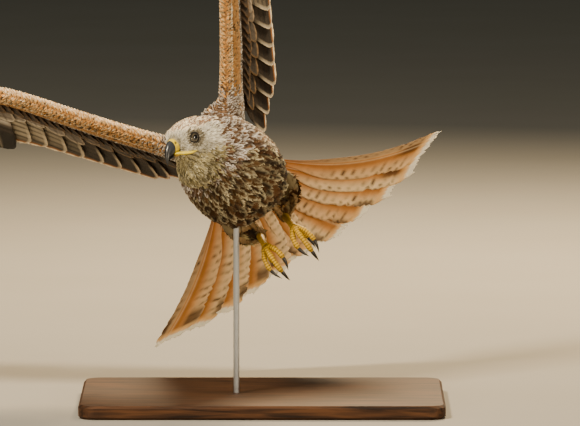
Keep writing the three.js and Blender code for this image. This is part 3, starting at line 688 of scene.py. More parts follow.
def feather_colours(field, shape, draws):
    """A base with a streak along the shaft and a fringe that hooks round the end from an edge."""
    along, across, _ = shape
    count = len(field["way"])
    base, streak, fringe = (field[key][:, None] for key in ("base", "streak", "fringe"))
    width = np.maximum(field["wide"][:, None] * (0.7 + 0.5 * along), 0.05)
    dark = field["streaked"][:, None] * ramp(0.05, 0.4, along) * ramp(1.0, 0.6, np.abs(across) / width)
    side = draws.choice([-1.0, 1.0], (count, 1))
    edge = np.where(draws.random((count, 1)) < 0.3, np.abs(across), across * side)
    hook = np.maximum(ramp(0.4, 0.75, edge) * ramp(0.2, 0.45, along), ramp(0.84, 1.0, along))
    rim = field["fringed"][:, None] * hook * (0.7 + 0.3 * draws.random((count, len(along))))
    colours = mix(mix(base, streak, dark[..., None]), fringe, rim[..., None])
    return np.clip(colours * (0.94 + 0.13 * draws.normal(0, 1, (count, 1, 1))), 0, 1)


def small_feathers(field, draws, clumps):
    """Points, faces, colours, barbs and bake places of many feathers of one shape."""
    along, across, edge, faces = tuft_shape(clumps)
    shape = (along, across, edge)
    count, corners = len(field["way"]), len(along)
    points = feather_points(field, shape, draws.normal(0, 1, (count, corners)), draws)
    colours = feather_colours(field, shape, draws)
    barb = field["length"][:, None] * along - 1.2 * field["width"][:, None] * np.abs(across)
    all_faces = (faces[None] + (np.arange(count) * corners)[:, None, None]).reshape(-1, 3)
    patch = np.column_stack([across * 0.0015, (along - 0.5) * 0.003])
    bake = (field["bake"][:, None] + patch[None]).reshape(-1, 2)
    return points.reshape(-1, 3), all_faces, colours.reshape(-1, 3), barb.ravel(), bake


# Where the feathers of the body grow
THIGH_LIE = {"left": (-0.78, -0.42, -0.46), "right": (-0.84, 0.3, -0.45)}
LENGTH_ROWS = [[0, 3.4], [22, 4.8], [40, 7.5], [60, 12], [85, 19], [120, 25], [200, 29], [300, 32]]
THIGH_LENGTH = 8.0
SPACING_ROWS = [[0, 0.155], [55, 0.155], [100, 0.2], [300, 0.21]]
SLIM_ROWS = [[0, 0.2], [50, 0.2], [75, 0.27], [140, 0.3], [300, 0.36]]


def feather_length(points):
    length = profile(LENGTH_ROWS, from_bill(points))
    return np.where(on_thigh(points), np.minimum(length, THIGH_LENGTH), length)


def feather_spacing(points):
    """Space between the feathers, a smaller share of their length on the head."""
    return profile(SPACING_ROWS, from_bill(points)) * feather_length(points)


def lie_of(points, normals):
    """The way that feathers lie: away from the bill over the body, and down the thighs."""
    away = points - BILL_BASE
    backward = 0.6 * ramp(40, 110, from_bill(points))[:, None] * np.array([-1.0, 0, 0])
    down = np.where(points[:, 1:2] > 0, THIGH_LIE["left"], THIGH_LIE["right"])
    ways = unit(np.where(on_thigh(points)[:, None], down, unit(away) + backward))
    return laid_flat(ways, normals)


def scattered(points, normals, triangles, draws):
    """Evenly strewn places on the body, closer where its feathers are shorter."""
    corners = points[triangles]
    crossed = np.cross(corners[:, 1] - corners[:, 0], corners[:, 2] - corners[:, 0])
    weights = np.linalg.norm(crossed, axis=1) / 2 / feather_spacing(corners.mean(axis=1)) ** 2
    picks = draws.choice(len(triangles), PLACES_TRIED, p=weights / weights.sum())
    a, b = draws.random((2, PLACES_TRIED, 1))
    fold = a + b > 1
    a, b = np.where(fold, 1 - a, a), np.where(fold, 1 - b, b)
    places, ups = (
        values[:, 0] * (1 - a - b) + values[:, 1] * a + values[:, 2] * b
        for values in (points[triangles[picks]], normals[triangles[picks]])
    )
    kept = thinned(places, feather_spacing(places))
    return places[kept], unit(ups)[kept]


def thinned(places, spacing):
    """The numbers of the places that stay when each one clears the space round it."""
    tree = kdtree.KDTree(len(places))
    for i, place in enumerate(places):
        tree.insert(place, i)
    tree.balance()
    kept = []
    free = np.ones(len(places), bool)
    for i, place in enumerate(places):
        if free[i]:
            kept.append(i)
            for _, j, _ in tree.find_range(place, spacing[i]):
                free[j] = False
    return kept


def laid_lines(tree, roots, ways, ups, lengths):
    """Places and ups at a few steps of each feather as it runs on along the skin."""
    places, directions = roots, ways
    line, up_line = [roots], [ups]
    for _ in range(LINE_STEPS):
        straight = places + directions * (lengths / LINE_STEPS)[:, None]
        found = [tree.find_nearest(Vector(place)) for place in straight]
        on_skin = np.array([hit[0] for hit in found])
        normals = np.array([hit[1] for hit in found])
        places = mix(straight, on_skin, 0.85)
        directions = laid_flat(directions, normals)
        line.append(places)
        up_line.append(unit(mix(up_line[-1], normals, 0.7)))
    return np.stack(line, 1), np.stack(up_line, 1)


def free_of_face(roots):
    """False where the bill, the corner of the mouth or an eye lies bare."""
    x, y, z = head_local(roots).T
    on_bill = (x > 18.5) & (np.abs(y) < 10) & (z > -19)
    from_gape = np.abs(z + 16.2 - 0.24 * x)
    mouth = (x > 3) & (from_gape < 1.3 + 0.05 * np.maximum(x, 0)) & (np.abs(y) > 5)
    gaze = unit(GAZE)
    offset = np.column_stack([x, np.abs(y) - EYE_SIDE, z])
    ahead = offset @ gaze
    aside = np.linalg.norm(offset - ahead[:, None] * gaze, axis=1)
    at_eye = (ahead > 0) & (aside < EYE_OPENING + 0.9 + 1.6 * ramp(0, 6, x))
    return ~(on_bill | mouth | at_eye)


def streak_draws(roots, draws):
    """Chance draws that are alike along short lines from the bill over the head."""
    local = (roots - BILL_BASE) @ HEAD.T
    line = (np.arctan2(local[:, 1], local[:, 2]) * LINES_PER_RADIAN).astype(int)
    starts = draws.random(512)
    step = (from_bill(roots) / LINE_LENGTH + starts[line]).astype(int)
    return draws.random((512, 32))[line, step % 32]


def body_looks(roots, draws):
    """The looks of the body's feathers, with the head's streaks in short lines."""
    chances = plumage_shares(roots).cumsum(axis=1)
    regions = (draws.random((len(roots), 1)) > chances).sum(axis=1)
    regions = np.clip(regions, 0, len(PLUMAGE) - 1)
    looks = looks_of(PLUMAGE, regions, draws)
    likely = region_values(PLUMAGE, "streaked")[regions]
    in_line = np.where(streak_draws(roots, draws) < likely, 0.95, 0.05)
    looks["streaked"] = np.where(from_bill(roots) < STREAKED_HEAD, in_line, looks["streaked"])
    return looks


def body_field(skin, draws):
    """Everything that the small feathers of head, body and thighs need, as arrays."""
    points, normals, triangles = surface_of(skin)
    roots, ups = scattered(points, normals, triangles, draws)
    keep = free_of_face(roots)
    roots, ups = roots[keep], ups[keep]
    count = len(roots)
    ways = lie_of(roots, ups)
    turn = draws.normal(0, 0.13, count)[:, None]
    ways = unit(ways * np.cos(turn) + np.cross(ups, ways) * np.sin(turn))
    lengths = feather_length(roots) * (1 + 0.12 * draws.normal(0, 1, count))
    depths = coat_depth(roots) * (0.85 + 0.3 * draws.random(count)) + 0.5
    looks = body_looks(roots, draws)
    tree = BVHTree.FromPolygons(points.tolist(), triangles.tolist())
    line, up_line = laid_lines(tree, roots - 0.5 * ups, ways, ups, lengths)
    return {
        "root": roots, "way": ways, "line": line, "ups": up_line, "length": lengths, "depth": depths,
        "width": lengths * profile(SLIM_ROWS, from_bill(roots)) * 0.9, "bake": body_unwrap(roots), **looks,
    }


def body_coat(skin):
    draws = np.random.default_rng(7)
    field = body_field(skin, draws)
    on_head = from_bill(field["root"]) < HEAD_REACH
    below = field["root"][:, 2] < BACK_HEIGHT
    parts = [
        ("coat_head", "head_feathers", on_head, 3),
        ("coat_breast", "body_feathers", ~on_head & below, 10),
        ("coat_back", "body_feathers", ~on_head & ~below, 9),
    ]
    for name, slot, chosen, clumps in parts:
        some = {key: values[chosen] for key, values in field.items()}
        feather_piece(name, CONTOUR, [small_feathers(some, draws, clumps)])


# Wings: places on a wing are out from the shoulder, ahead of it and above its face
class Wing:
    def __init__(self, side):
        pose = WINGS[side]
        self.side, self.sign, self.seed = side, pose["sign"], pose["seed"]
        self.outs = np.linspace(-40, 760, 1601)
        droop = HAND_DROOP * ramp(WRIST_OUT - 70, WRIST_OUT + 50, self.outs)
        angles = np.radians(pose["dihedral"] - droop + TIP_RISE * ramp(420, 720, self.outs))
        steps = np.diff(self.outs)
        middle = (angles[1:] + angles[:-1]) / 2
        aside = np.r_[0, np.cumsum(np.cos(middle) * steps)]
        above = np.r_[0, np.cumsum(np.sin(middle) * steps)]
        aside -= np.interp(0, self.outs, aside)
        above -= np.interp(0, self.outs, above)
        alpha = np.radians(mix(*pose["incidence"], np.clip(self.outs / WRIST_OUT, 0, 1)))[:, None]
        over = np.column_stack([0 * angles, -self.sign * np.sin(angles), np.cos(angles)])
        front = np.array([1.0, 0, 0])
        self.ahead = front * np.cos(alpha) + over * np.sin(alpha)
        self.normal = over * np.cos(alpha) - front * np.sin(alpha)
        sheet = np.column_stack([0 * aside, self.sign * aside, above])
        self.place = np.array(SHOULDER) * (1, self.sign, 1) + sheet

    def read(self, table, out):
        """Rows of one of the wing's tables at places out."""
        return np.stack([np.interp(out, self.outs, table[:, k]) for k in range(3)], -1)

    def at(self, out, ahead, above):
        """Places on the wing's curved sheet."""
        curl = WING_CAMBER * np.minimum(0, ahead - CAMBER_START) ** 2
        level = self.read(self.place, out) + self.read(self.ahead, out) * np.asarray(ahead)[..., None]
        return level + self.read(self.normal, out) * (above - curl)[..., None]

    def arm(self, out, turn):
        """Places on the arm: turn runs from -1, at the back below, over 0 in front to 1 at the back."""
        front, back, half = np.moveaxis(stations(ARM_STATIONS, out), -1, 0)
        share = np.abs(turn)
        tops = np.interp(share, [0, 0.12, 0.3, 0.5, 0.75, 1], [0, 0.45, 0.86, 1, 0.86, 0.3])
        lows = np.interp(share, [0, 0.12, 0.3, 0.5, 0.75, 1], [0, 0.42, 0.74, 0.86, 0.76, 0.3])
        rise = SHOULDER_RISE * ramp(32, 10, out)
        height = np.where(turn > 0, tops * (half + rise), -lows * half)
        return self.at(out, front + (back - front) * share**1.7, height)


# Large feathers
FLIGHT_OUTLINE = [[0, 0.14], [0.12, 0.42], [0.36, 0.92], [0.7, 1.0], [0.88, 0.94], [0.96, 0.7], [1, 0.3]]
FINGER_OUTLINE = [
    [0, 0.12], [0.2, 0.6], [0.42, 1], [0.52, 0.78], [0.6, 0.6], [0.85, 0.52], [0.95, 0.4], [1, 0.14],
]
COVERT_OUTLINE = [[0, 0.3], [0.3, 0.75], [0.6, 1.0], [0.82, 0.95], [0.93, 0.72], [1, 0.3]]
TAIL_OUTLINE = [[0, 0.1], [0.24, 0.26], [0.5, 0.8], [0.85, 1.0], [0.95, 0.93], [1, 0.6]]
WEAR_DEPTH = 22.0


def next_chance(state):
    """The next state of the number row that the solids use too, and its value from -1 to 1."""
    state = (state * 1664525 + 1013904223) % 4294967296
    return state, state / 2147483648 - 1


def flight_feathers(wing):
    """Each flight feather from the body out: its kind, root, heading, length and widths."""
    feathers = []

    def grow(kind, root, heading, sweep, length, widths):
        outline = FINGER_OUTLINE if kind == "finger" else FLIGHT_OUTLINE
        feathers.append({"kind": kind, "root": root, "heading": heading, "sweep": sweep,
                         "length": length, "widths": widths, "outline": outline})

    for share in np.arange(TERTIAL_COUNT)[::-1] / (TERTIAL_COUNT - 1):
        root = (mix(86, 48, share), mix(ELBOW[1] - 6, ELBOW[1] - 2, share), 0)
        grow("tertial", root, mix(96, 100, share), 0, mix(165, 140, share), (18, 26))
    for share in np.arange(SECONDARY_COUNT)[::-1] / (SECONDARY_COUNT - 1):
        root = (mix(WRIST[0] - 4, ELBOW[0], share), mix(WRIST[1] - 8, ELBOW[1] - 8, share), 0)
        grow("secondary", root, mix(87, 95, share), 4, mix(196, 176, share), (16, 29))
    for k, length in enumerate(PRIMARY_LENGTHS):
        share = k / (len(PRIMARY_LENGTHS) - 1)
        root = (mix(WRIST[0] + 13, HAND_END + 3, share), mix(-1, 1, share), -0.75 * max(0, k - 4))
        kind, widths = ("finger", (mix(13, 9, share), 27)) if k >= FIRST_FINGER else ("primary", (15, 26))
        grow(kind, root, 86 - 76 * share**0.8, mix(4, 10, share), length, widths)
    state = wing.seed
    for feather in feathers:
        state, chance = next_chance(state)
        feather["length"] += 0.012 * feather["length"] * chance
        state, chance = next_chance(state)
        feather["heading"] += 0.5 * chance
    return feathers


def blade_faces(rows, columns):
    """Faces of a thin closed blade with as many points below as above."""
    i, j = np.meshgrid(np.arange(rows - 1), np.arange(columns - 1), indexing="ij")
    a = i * columns + j
    quads = np.stack([a, a + 1, a + columns + 1, a + columns], -1).reshape(-1, 4)
    count = rows * columns
    root, end = np.arange(columns), np.arange(count - 2, count - columns - 1, -1)
    trail, lead = np.arange(2 * columns - 1, count, columns), np.arange(count - 2 * columns, 0, -columns)
    rim = np.r_[root, trail, end, lead]
    after = np.roll(rim, -1)
    walls = np.stack([after, rim, rim + count, after + count], -1)
    return np.concatenate([quads, quads[:, ::-1] + count, walls])


def shaft_line(feather, shares):
    """Places out and ahead on a feather's curved shaft, and the way it points, at shares of its length."""
    fine = np.linspace(0, 1, 200)
    angle = np.radians(feather["heading"] + feather["sweep"] * fine**2)
    step = feather["length"] / 199
    run = np.r_[0, np.cumsum(np.cos(angle[1:]) * step)]
    back = np.r_[0, np.cumsum(np.sin(angle[1:]) * step)]
    out = feather["root"][0] + np.interp(shares, fine, run)
    ahead = feather["root"][1] - np.interp(shares, fine, back)
    return out[:, None], ahead[:, None], np.interp(shares, fine, angle)[:, None]


def vane(sheet, feather, rows, columns, draws, wear):
    """One large feather as a closed blade on a sheet that is given as places out, ahead and above.

    Returns its points, its faces, where each point is on it, and how far along its barb in millimetres.
    """
    shares = 1 - (1 - np.linspace(0, 1, rows)) ** 1.25
    width = profile(feather["outline"], shares)[:, None]
    out, ahead, turn = shaft_line(feather, shares)
    across = np.linspace(1, -1, columns)
    edge_wear = 1 - wear * np.clip(draws.normal(0, 1, (rows, 2)), 0, 2) * ramp(0.35, 1, shares)[:, None]
    notch = np.where(across > 0, edge_wear[:, :1], edge_wear[:, 1:])
    lead, trail = feather["widths"]
    side = np.where(across > 0, lead * across, trail * across) * width * notch
    ragged = wear * WEAR_DEPTH * ramp(0.9, 1, shares)[:, None] * draws.normal(0, 1, columns)
    push = feather.get("slant", 0) * side * shares[:, None] ** 3 + ragged
    lift = feather["root"][2] + feather.get("lift", np.zeros_like)(shares)[:, None]
    above = lift + feather.get("roll", VANE_ROLL) * side - 0.05 * np.abs(side) * np.abs(across)
    places_out = out + np.sin(turn) * side + np.cos(turn) * push
    places_ahead = ahead + np.cos(turn) * side - np.sin(turn) * push
    thick = mix(0.5, 0.16, np.abs(across))[None, :] * np.ones((rows, 1))
    top = sheet(places_out, places_ahead, above + thick)
    low = sheet(places_out, places_ahead, above - thick)
    points = np.concatenate([top.reshape(-1, 3), low.reshape(-1, 3)])
    grid = {
        "along": np.tile(np.repeat(shares, columns), 2),
        "across": np.tile(np.tile(across, rows), 2),
        "under": np.repeat([0, 1], rows * columns),
    }
    grid["mm"] = grid["along"] * feather["length"]
    barb = grid["mm"] - 1.3 * np.abs(np.tile(side.ravel(), 2))
    return points, outward(points, blade_faces(rows, columns)), grid, barb


def bars(mm, spacing, share, shift):
    """1 in dark cross bars that repeat along a feather."""
    phase = (mm / spacing + shift) % 1
    return ramp(0, 0.14, phase) * ramp(share + 0.14, share, phase)


def paint(grid, layers):
    """Colours from a base and layers of (colour, amount)."""
    colours = plain(layers[0], grid["along"])
    for colour, amount in layers[1:]:
        colours = mix(colours, linear(colour), np.clip(amount, 0, 1)[:, None])
    return colours


def secondary_colours(feather, grid, draws):
    """Dark and barred, paler towards the hand, with a tan end and a cream rim, both partly painted light:
    the pale below lifts the shade under the wing and the rim is a painted glow of the backlit edge.
    """
    t, s, under = grid["along"], grid["across"], grid["under"]
    outer = float(ramp(150, 232, feather["root"][0]))
    rim = np.maximum(ramp(0.96, 0.985, t), ramp(-0.88, -0.99, s) * ramp(0.5, 0.8, t))
    return paint(grid, [
        "#21160c",
        ("#4a3620", under * 0.5 * ramp(0.8, 0.2, t)),
        # Paler below towards the hand: partly the feathers' own pale underside, partly painted light that
        # lifts the shade under the wing
        ("#b5a78e", under * 0.85 * outer * ramp(1.0, 0.75, t)),
        ("#0d0905", 0.7 * bars(grid["mm"], 21, 0.36, draws.random()) * ramp(0.1, 0.3, t)),
        ("#b57434", 0.8 * ramp(0.92, 0.97, t)),
        # Cream rim on the end and trailing edge: partly a pale fringe, partly a painted glow of the backlit
        # edge, stronger below
        ("#ffefcf", rim * (0.35 + 0.65 * under)),
        ("#6f5a3c", 0.4 * ramp(0.07, 0.02, np.abs(s))),
    ])


def primary_colours(feather, grid, draws):
    """A pale window at the root, stronger below, and a dark end."""
    t, s, under = grid["along"], grid["across"], grid["under"]
    dark_from = 0.5 if feather["kind"] == "finger" else 0.62
    window = ramp(dark_from, dark_from - 0.16, t) * (0.35 + 0.65 * under)
    return paint(grid, [
        "#241b15",
        ("#cfc4b4", window * ramp(1.0, 0.5, s)),
        ("#4a3d33", 0.7 * bars(grid["mm"], 24, 0.34, draws.random()) * ramp(0.16, 0.3, t)),
        ("#17120f", ramp(dark_from + 0.02, dark_from + 0.14, t)),
        ("#b5a78f", 0.4 * ramp(0.07, 0.02, np.abs(s)) * under),
    ])


def covert_colours(row, outer, pale, grid, draws):
    """Coverts: grey-brown and barred below with pale ends, brown with buff fringes above; the pale grey of
    the outer great coverts below is partly painted light that lifts the shade under the arm.
    """
    t, s = grid["along"], grid["across"]
    shaft = ramp(0.1, 0.03, np.abs(s))
    edge = np.maximum(ramp(0.88, 0.97, t), ramp(0.84, 0.97, np.abs(s)) * ramp(0.35, 0.6, t))
    if row["face"] > 0 and row["kind"] == "great":
        return paint(grid, ["#38281a", ("#96703f", 0.55 * edge), ("#211812", 0.6 * shaft)])
    if row["face"] > 0:
        return paint(grid, ["#6b4420", ("#b08450", 0.6 * edge), ("#2b1d14", 0.7 * shaft)])
    if row["kind"] == "great":
        dark = 0.95 * (1 - outer) + 0.3 * outer * ramp(0.2, 0.7, t) * ramp(0.9, 0.6, t)
        return paint(grid, [
            # Outer great coverts below: pale grey with pale ends, partly their own colour and partly
            # painted light that lifts the shade under the arm
            "#94887a",
            ("#1a120b", dark),
            ("#4a3d30", 0.55 * bars(grid["mm"], 9, 0.4, draws.random()) * outer),
            ("#ded2bc", 0.9 * edge * outer),
            ("#a98250", 0.5 * edge * (1 - outer)),
            ("#33271d", 0.6 * shaft),
        ])
    return paint(grid, [
        "#4a3520",
        ("#1d130a", 0.9 * ramp(0.5, 0.15, np.abs(s + 0.2)) + 0.4 * (1 - outer)),
        ("#f6efe0", pale * ramp(0.15, 0.5, s) * ramp(0.1, 0.4, t) * ramp(1.0, 0.7, t)),
        ("#b98d57", 0.25 * edge),
    ])


def strip_bake(number, total, grid):
    """A strip of its own on the bake map for each large feather, its two faces side by side."""
    side = 0.21 * grid["across"] + 0.21 * (1 - 2 * grid["under"])
    return in_map((number + 0.5 + side) / total, grid["along"])


def flight_piece(wing, feathers):
    draws = np.random.default_rng(wing.seed)
    vanes = []
    for i, feather in enumerate(feathers):
        points, faces, grid, barb = vane(wing.at, feather, 44, 11, draws, 0.02)
        plumes = secondary_colours if feather["kind"] in ("secondary", "tertial") else primary_colours
        bake = strip_bake(i, len(feathers), grid)
        vanes.append((points, faces, plumes(feather, grid, draws), barb, bake))
    return feather_piece(f"flight_{wing.side}", FLIGHT, vanes)


COVERT_LIFT = 4.9
MEDIAN_LIFT = 8.0
COVERT_ROWS = [
    {"kind": "great", "face": 1, "length": 92, "forward": 4, "width": 14, "lift": COVERT_LIFT},
    {"kind": "great", "face": -1, "length": 84, "forward": 4, "width": 14, "lift": COVERT_LIFT},
    {"kind": "median", "face": 1, "length": 56, "forward": 12, "width": 12, "lift": MEDIAN_LIFT},
    {"kind": "median", "face": -1, "length": 50, "forward": 12, "width": 12, "lift": MEDIAN_LIFT},
]
# Length of the flight feather over which a covert has its row's full length
FULL_LENGTH = 186.0


def covert_of(feather, row):
    """The covert that lies on a flight feather, a little ahead of its root."""
    turn = math.radians(feather["heading"])
    out, ahead, level = feather["root"]
    forward, rise = row["forward"], row["face"] * row["lift"]
    return {
        "root": (out - math.cos(turn) * forward, ahead + math.sin(turn) * forward, level + rise * 0.55),
        "heading": feather["heading"], "sweep": feather["sweep"] / 2,
        "length": row["length"] * (0.5 + 0.5 * feather["length"] / FULL_LENGTH),
        "widths": (row["width"] * 0.85, row["width"]),
        "outline": COVERT_OUTLINE, "lift": lambda share: rise * 0.45 * ramp(0, 1, share * 3),
    }


def between_feathers(feathers):
    """The feathers and, between each two neighbours, one more of middle place for the small coverts."""
    out = []
    for first, second in zip(feathers, feathers[1:]):
        middle = {**first}
        middle["root"] = tuple(mix(a, b, 0.5) for a, b in zip(first["root"], second["root"]))
        for key in ("heading", "sweep", "length"):
            middle[key] = mix(first[key], second[key], 0.5)
        out += [first, middle]
    return [*out, feathers[-1]]


def covert_piece(wing, feathers):
    draws = np.random.default_rng(wing.seed + 1)
    jobs = [(row, feather) for row in COVERT_ROWS
            for feather in (between_feathers(feathers) if row["kind"] == "median" else feathers)]
    vanes = []
    for i, (row, feather) in enumerate(jobs):
        covert = covert_of(feather, row)
        covert["heading"] += 2.5 * draws.normal()
        covert["length"] *= 1 + 0.08 * draws.normal()
        points, faces, grid, barb = vane(wing.at, covert, 16, 9, draws, 0.03)
        outer = float(ramp(90, 230, feather["root"][0]))
        pale = draws.choice([0.1, 0.5, 1.0]) if wing.sign > 0 else 0.2
        colours = covert_colours(row, outer, pale, grid, draws)
        vanes.append((points, faces, colours, barb, strip_bake(i, len(jobs), grid)))
    return feather_piece(f"coverts_{wing.side}", FLIGHT, vanes)


# Arms of the wings
ARM_START, ARM_END = ARM_STATIONS[0][0], ARM_STATIONS[-1][0]
# Where the leading edge runs round each arm; the places above it are the larger ones
ARM_LINE = {"left": -0.14, "right": -0.3}


def arm_unwrap(outs, turns):
    """Places on the bake map from places along and round the arm."""
    return in_map((outs - ARM_START) / (ARM_END - ARM_START), (turns + 1) / 2)


def arm_skin(wing):
    """The arm's own surface, a closed loft drawn in by a little."""
    outs, turns = np.linspace(ARM_START, ARM_END, 90), np.linspace(-1, 1, 40)
    out, turn = np.meshgrid(outs, turns, indexing="ij")
    points = wing.arm(out, turn)
    centre = points.mean(axis=1, keepdims=True)
    points = centre + (points - centre) * 0.93
    points, faces = closed_tube(points.reshape(-1, 3), len(outs), len(turns))
    bake = arm_unwrap(np.r_[out.ravel(), outs[0], outs[-1]], np.r_[turn.ravel(), 0, 0])
    colours = plain("#7d5c3e", points)
    return piece(f"arm_{wing.side}", points, faces, SKIN, colours, bake=bake)


def arm_regions(wing, outs, turns, draws):
    """The number of the region of each small covert, from its place along and round the arm."""
    loose = draws.normal(0, 1, len(turns))
    above = turns - ARM_LINE[wing.side]
    regions = np.full(len(turns), ARM_REGIONS.index("spotted"))
    for name, inside in [
        ("top", above + 0.03 * loose > 0.33),
        ("upper", turns > 0.5),
        ("line", above < 0.02),
        ("tan", above < -0.015),
        ("pied", (above + 0.02 * loose < -0.45) | (turns < -0.62)),
        ("shoulder", outs + 9 * loose < 34),
    ]:
        regions[inside] = ARM_REGIONS.index(name)
    return regions


def arm_rows(wing, draws):
    """Roots, ways, ups, places along and round, and every second one, of coverts in rows round the arm."""
    rows = []
    for number, turn in enumerate(np.r_[np.linspace(0.01, 0.92, 26), -np.linspace(0.0, 0.95, 30)]):
        step = mix(2.6, 4.0, ramp(0.0, 0.3, abs(turn)))
        outs = np.arange(-20 + 0.5 * step * (number % 2), 342, step)
        outs = outs + draws.normal(0, 0.3, len(outs))
        turns = np.full(len(outs), turn) + draws.normal(0, 0.004, len(outs))
        sign = 1 if turn > 0 else -1
        start = wing.arm(outs, turns)
        way = wing.arm(outs + 2.0, turns + 0.05 * sign) - start
        ups = unit(np.cross(wing.arm(outs + 3, turns) - start, way)) * sign * wing.sign
        odd = (np.arange(len(outs)) + number // 2) % 2 == 0
        rows.append((start, way, ups, outs, turns, odd))
    return [np.concatenate(values) for values in zip(*rows)]


def arm_field(wing, draws):
    """Everything that the small coverts of an arm need, as arrays."""
    roots, ways, ups, outs, turns, odd = arm_rows(wing, draws)
    ways = laid_flat(unit(ways), ups)
    count = len(roots)
    lengths = mix(3.6, 11.0, ramp(-0.05, 0.6, np.abs(turns))) * (1 + 0.1 * draws.normal(0, 1, count))
    tips = roots + (ways - 0.05 * ups) * lengths[:, None]
    regions = arm_regions(wing, outs, turns, draws)
    looks = looks_of(ARM_PLUMAGE, regions, draws)
    # Every second covert of the spotted band has a dark heart, in a zigzag from row to row
    zigzag = np.where(odd, 0.95, 0.0)
    looks["streaked"] = np.where(regions == ARM_REGIONS.index("spotted"), zigzag, looks["streaked"])
    return {
        "way": ways, "line": np.stack([roots - 0.4 * ups, tips], 1), "ups": np.stack([ups, ups], 1),
        "length": lengths, "width": lengths * 0.3, "depth": np.full(count, 1.5),
        "bake": arm_unwrap(outs, turns), **looks,
    }


def arm_coat(wing):
    draws = np.random.default_rng(wing.seed + 2)
    field = arm_field(wing, draws)
    feather_piece(f"arm_coat_{wing.side}", CONTOUR, [small_feathers(field, draws, 3)])


# Tail
TAIL_BACK = unit(TAIL_AXIS)
TAIL_LEFT = unit(np.array([0, 1, 0]) - TAIL_BACK * TAIL_BACK[1])
TAIL_OVER = unit(np.cross(TAIL_LEFT, TAIL_BACK))
TAIL_COVERT_ROWS = 4
TAIL_COVERTS = 9
TAIL_SEED = 31


def tail_sheet(sign):
    """The flat sheet of one half of the tail, for vane()."""
    def at(out, ahead, above):
        level = TAIL_ROOT + out[..., None] * TAIL_BACK + (-sign * ahead)[..., None] * TAIL_LEFT
        return level + above[..., None] * TAIL_OVER
    return at


def tail_colours(outermost, grid, draws):
    """Tan, with short dark bars on a cream inner web, dark blotches before the end and a cream end; the
    pale tan and the cream web below are partly a painted glow of light shining through the tail.
    """
    t, s, under, mm = grid["along"], grid["across"], grid["under"], grid["mm"]
    pale = draws.uniform(0.55, 1.0)
    cream_web_and_glow = pale * (ramp(0.22, 0.8, s) + outermost * ramp(-0.05, -0.4, s)) * ramp(0.1, 0.6, t)
    marks = bars(mm + 9 * s + 2.5 * np.sin(7 * s), 16, 0.2, draws.random()) * ramp(0.3, 0.55, np.abs(s))
    barred = marks * (0.4 + 0.6 * np.sin(mm / 23 + 6 * draws.random()) ** 2) * ramp(0.3, 0.5, t)
    blotch = ramp(0.0, 0.8, np.sin(4 * s + 6 * draws.random()))
    return paint(grid, [
        # Pale tan and the cream web below: partly the tail's own colours, partly a painted glow of light
        # through the backlit tail
        "#cd8e48",
        ("#a9652a", 0.7 * ramp(0.75, 0.15, t)),
        ("#8f5220", 0.5 * ramp(0.35, 0.05, np.abs(s - 0.1))),
        ("#fce3b4", 0.85 * cream_web_and_glow * under),
        ("#a65a22", 0.8 * (1 - under)),
        ("#3d2310", 0.95 * barred),
        ("#54341a", 0.45 * outermost * ramp(0.0, 0.5, -s)),
        ("#3f2410", 0.8 * blotch * ramp(0.8, 0.87, t) * ramp(0.95, 0.91, t)),
        ("#f5c27c", 0.8 * ramp(0.925, 0.95, t)),
        ("#fffae8", ramp(0.958, 0.972, t)),
        ("#f9e2b6", 0.4 * ramp(0.09, 0.03, np.abs(s))),
    ])


def tail_covert_colours(face, grid):
    """Rufous with paler ends above, buff with cream ends below."""
    base, end, middle = ("#a5653a", "#c9945f", "#4a2b18") if face > 0 else ("#c4946a", "#e4c7a2", "#6d4426")
    fringe = ramp(0.6, 0.95, np.maximum(grid["along"], np.abs(grid["across"])))
    shaft = ramp(0.16, 0.04, np.abs(grid["across"]))
    return paint(grid, [base, (end, 0.8 * fringe), (middle, 0.7 * shaft)])


def tail_vanes(draws):
    """The forked fan, from the middle pair out to the long outer ones of each side."""
    vanes = []
    for side in TAIL_SIDES:
        state = side["seed"]
        for i in range(TAIL_PAIRS):
            share = (i + 0.4) / (TAIL_PAIRS - 0.6)
            outermost = i == TAIL_PAIRS - 1
            state, chance = next_chance(state)
            feather = {
                "root": (4, -side["root_side"] * share, 1.6 if i == 0 and side["sign"] > 0 else 0),
                "heading": side["spread"] * share, "sweep": side["sweep"] * share,
                "length": mix(side["middle"], side["outer"], share**1.2) * (1 + 0.012 * chance),
                "widths": (28, 12 if outermost else 24), "slant": -1 if outermost else -0.35 * share,
                "roll": -VANE_ROLL, "outline": TAIL_OUTLINE,
            }
            points, faces, grid, barb = vane(tail_sheet(side["sign"]), feather, 56, 21, draws, 0.09)
            colours = tail_colours(outermost, grid, draws)
            vanes.append((points, faces, colours, barb, strip_bake(len(vanes), 2 * TAIL_PAIRS, grid)))
    return feather_piece("tail_vanes", FLIGHT, vanes)


def tail_covert(side, face, row, number, draws):
    """One covert at the root of the tail, which sinks from its row's level down to the vanes."""
    share = (number + 0.3) / (TAIL_COVERTS - 0.6)
    return {
        "root": (-16 + 14 * row, -12 * share, face * (8.5 - 1.6 * row)),
        "heading": side["spread"] * share * 0.95 + 3 * draws.normal(), "sweep": 4 * share,
        "length": (58 + 8 * row) * (1 - 0.22 * share), "widths": (10, 10), "roll": -VANE_ROLL,
        "outline": COVERT_OUTLINE, "lift": lambda along: face * (0.5 - 4.5 * ramp(0.1, 1, along)),
    }


def tail_coverts(draws):
    places = [(side, face, row, number) for side in TAIL_SIDES for face in (1, -1)
              for row in range(TAIL_COVERT_ROWS) for number in range(TAIL_COVERTS)]
    vanes = []
    for i, (side, face, row, number) in enumerate(places):
        covert = tail_covert(side, face, row, number, draws)
        points, faces, grid, barb = vane(tail_sheet(side["sign"]), covert, 12, 7, draws, 0.05)
        colours = tail_covert_colours(face, grid)
        vanes.append((points, faces, colours, barb, strip_bake(i, len(places), grid)))
    return feather_piece("tail_coverts", FLIGHT, vanes)


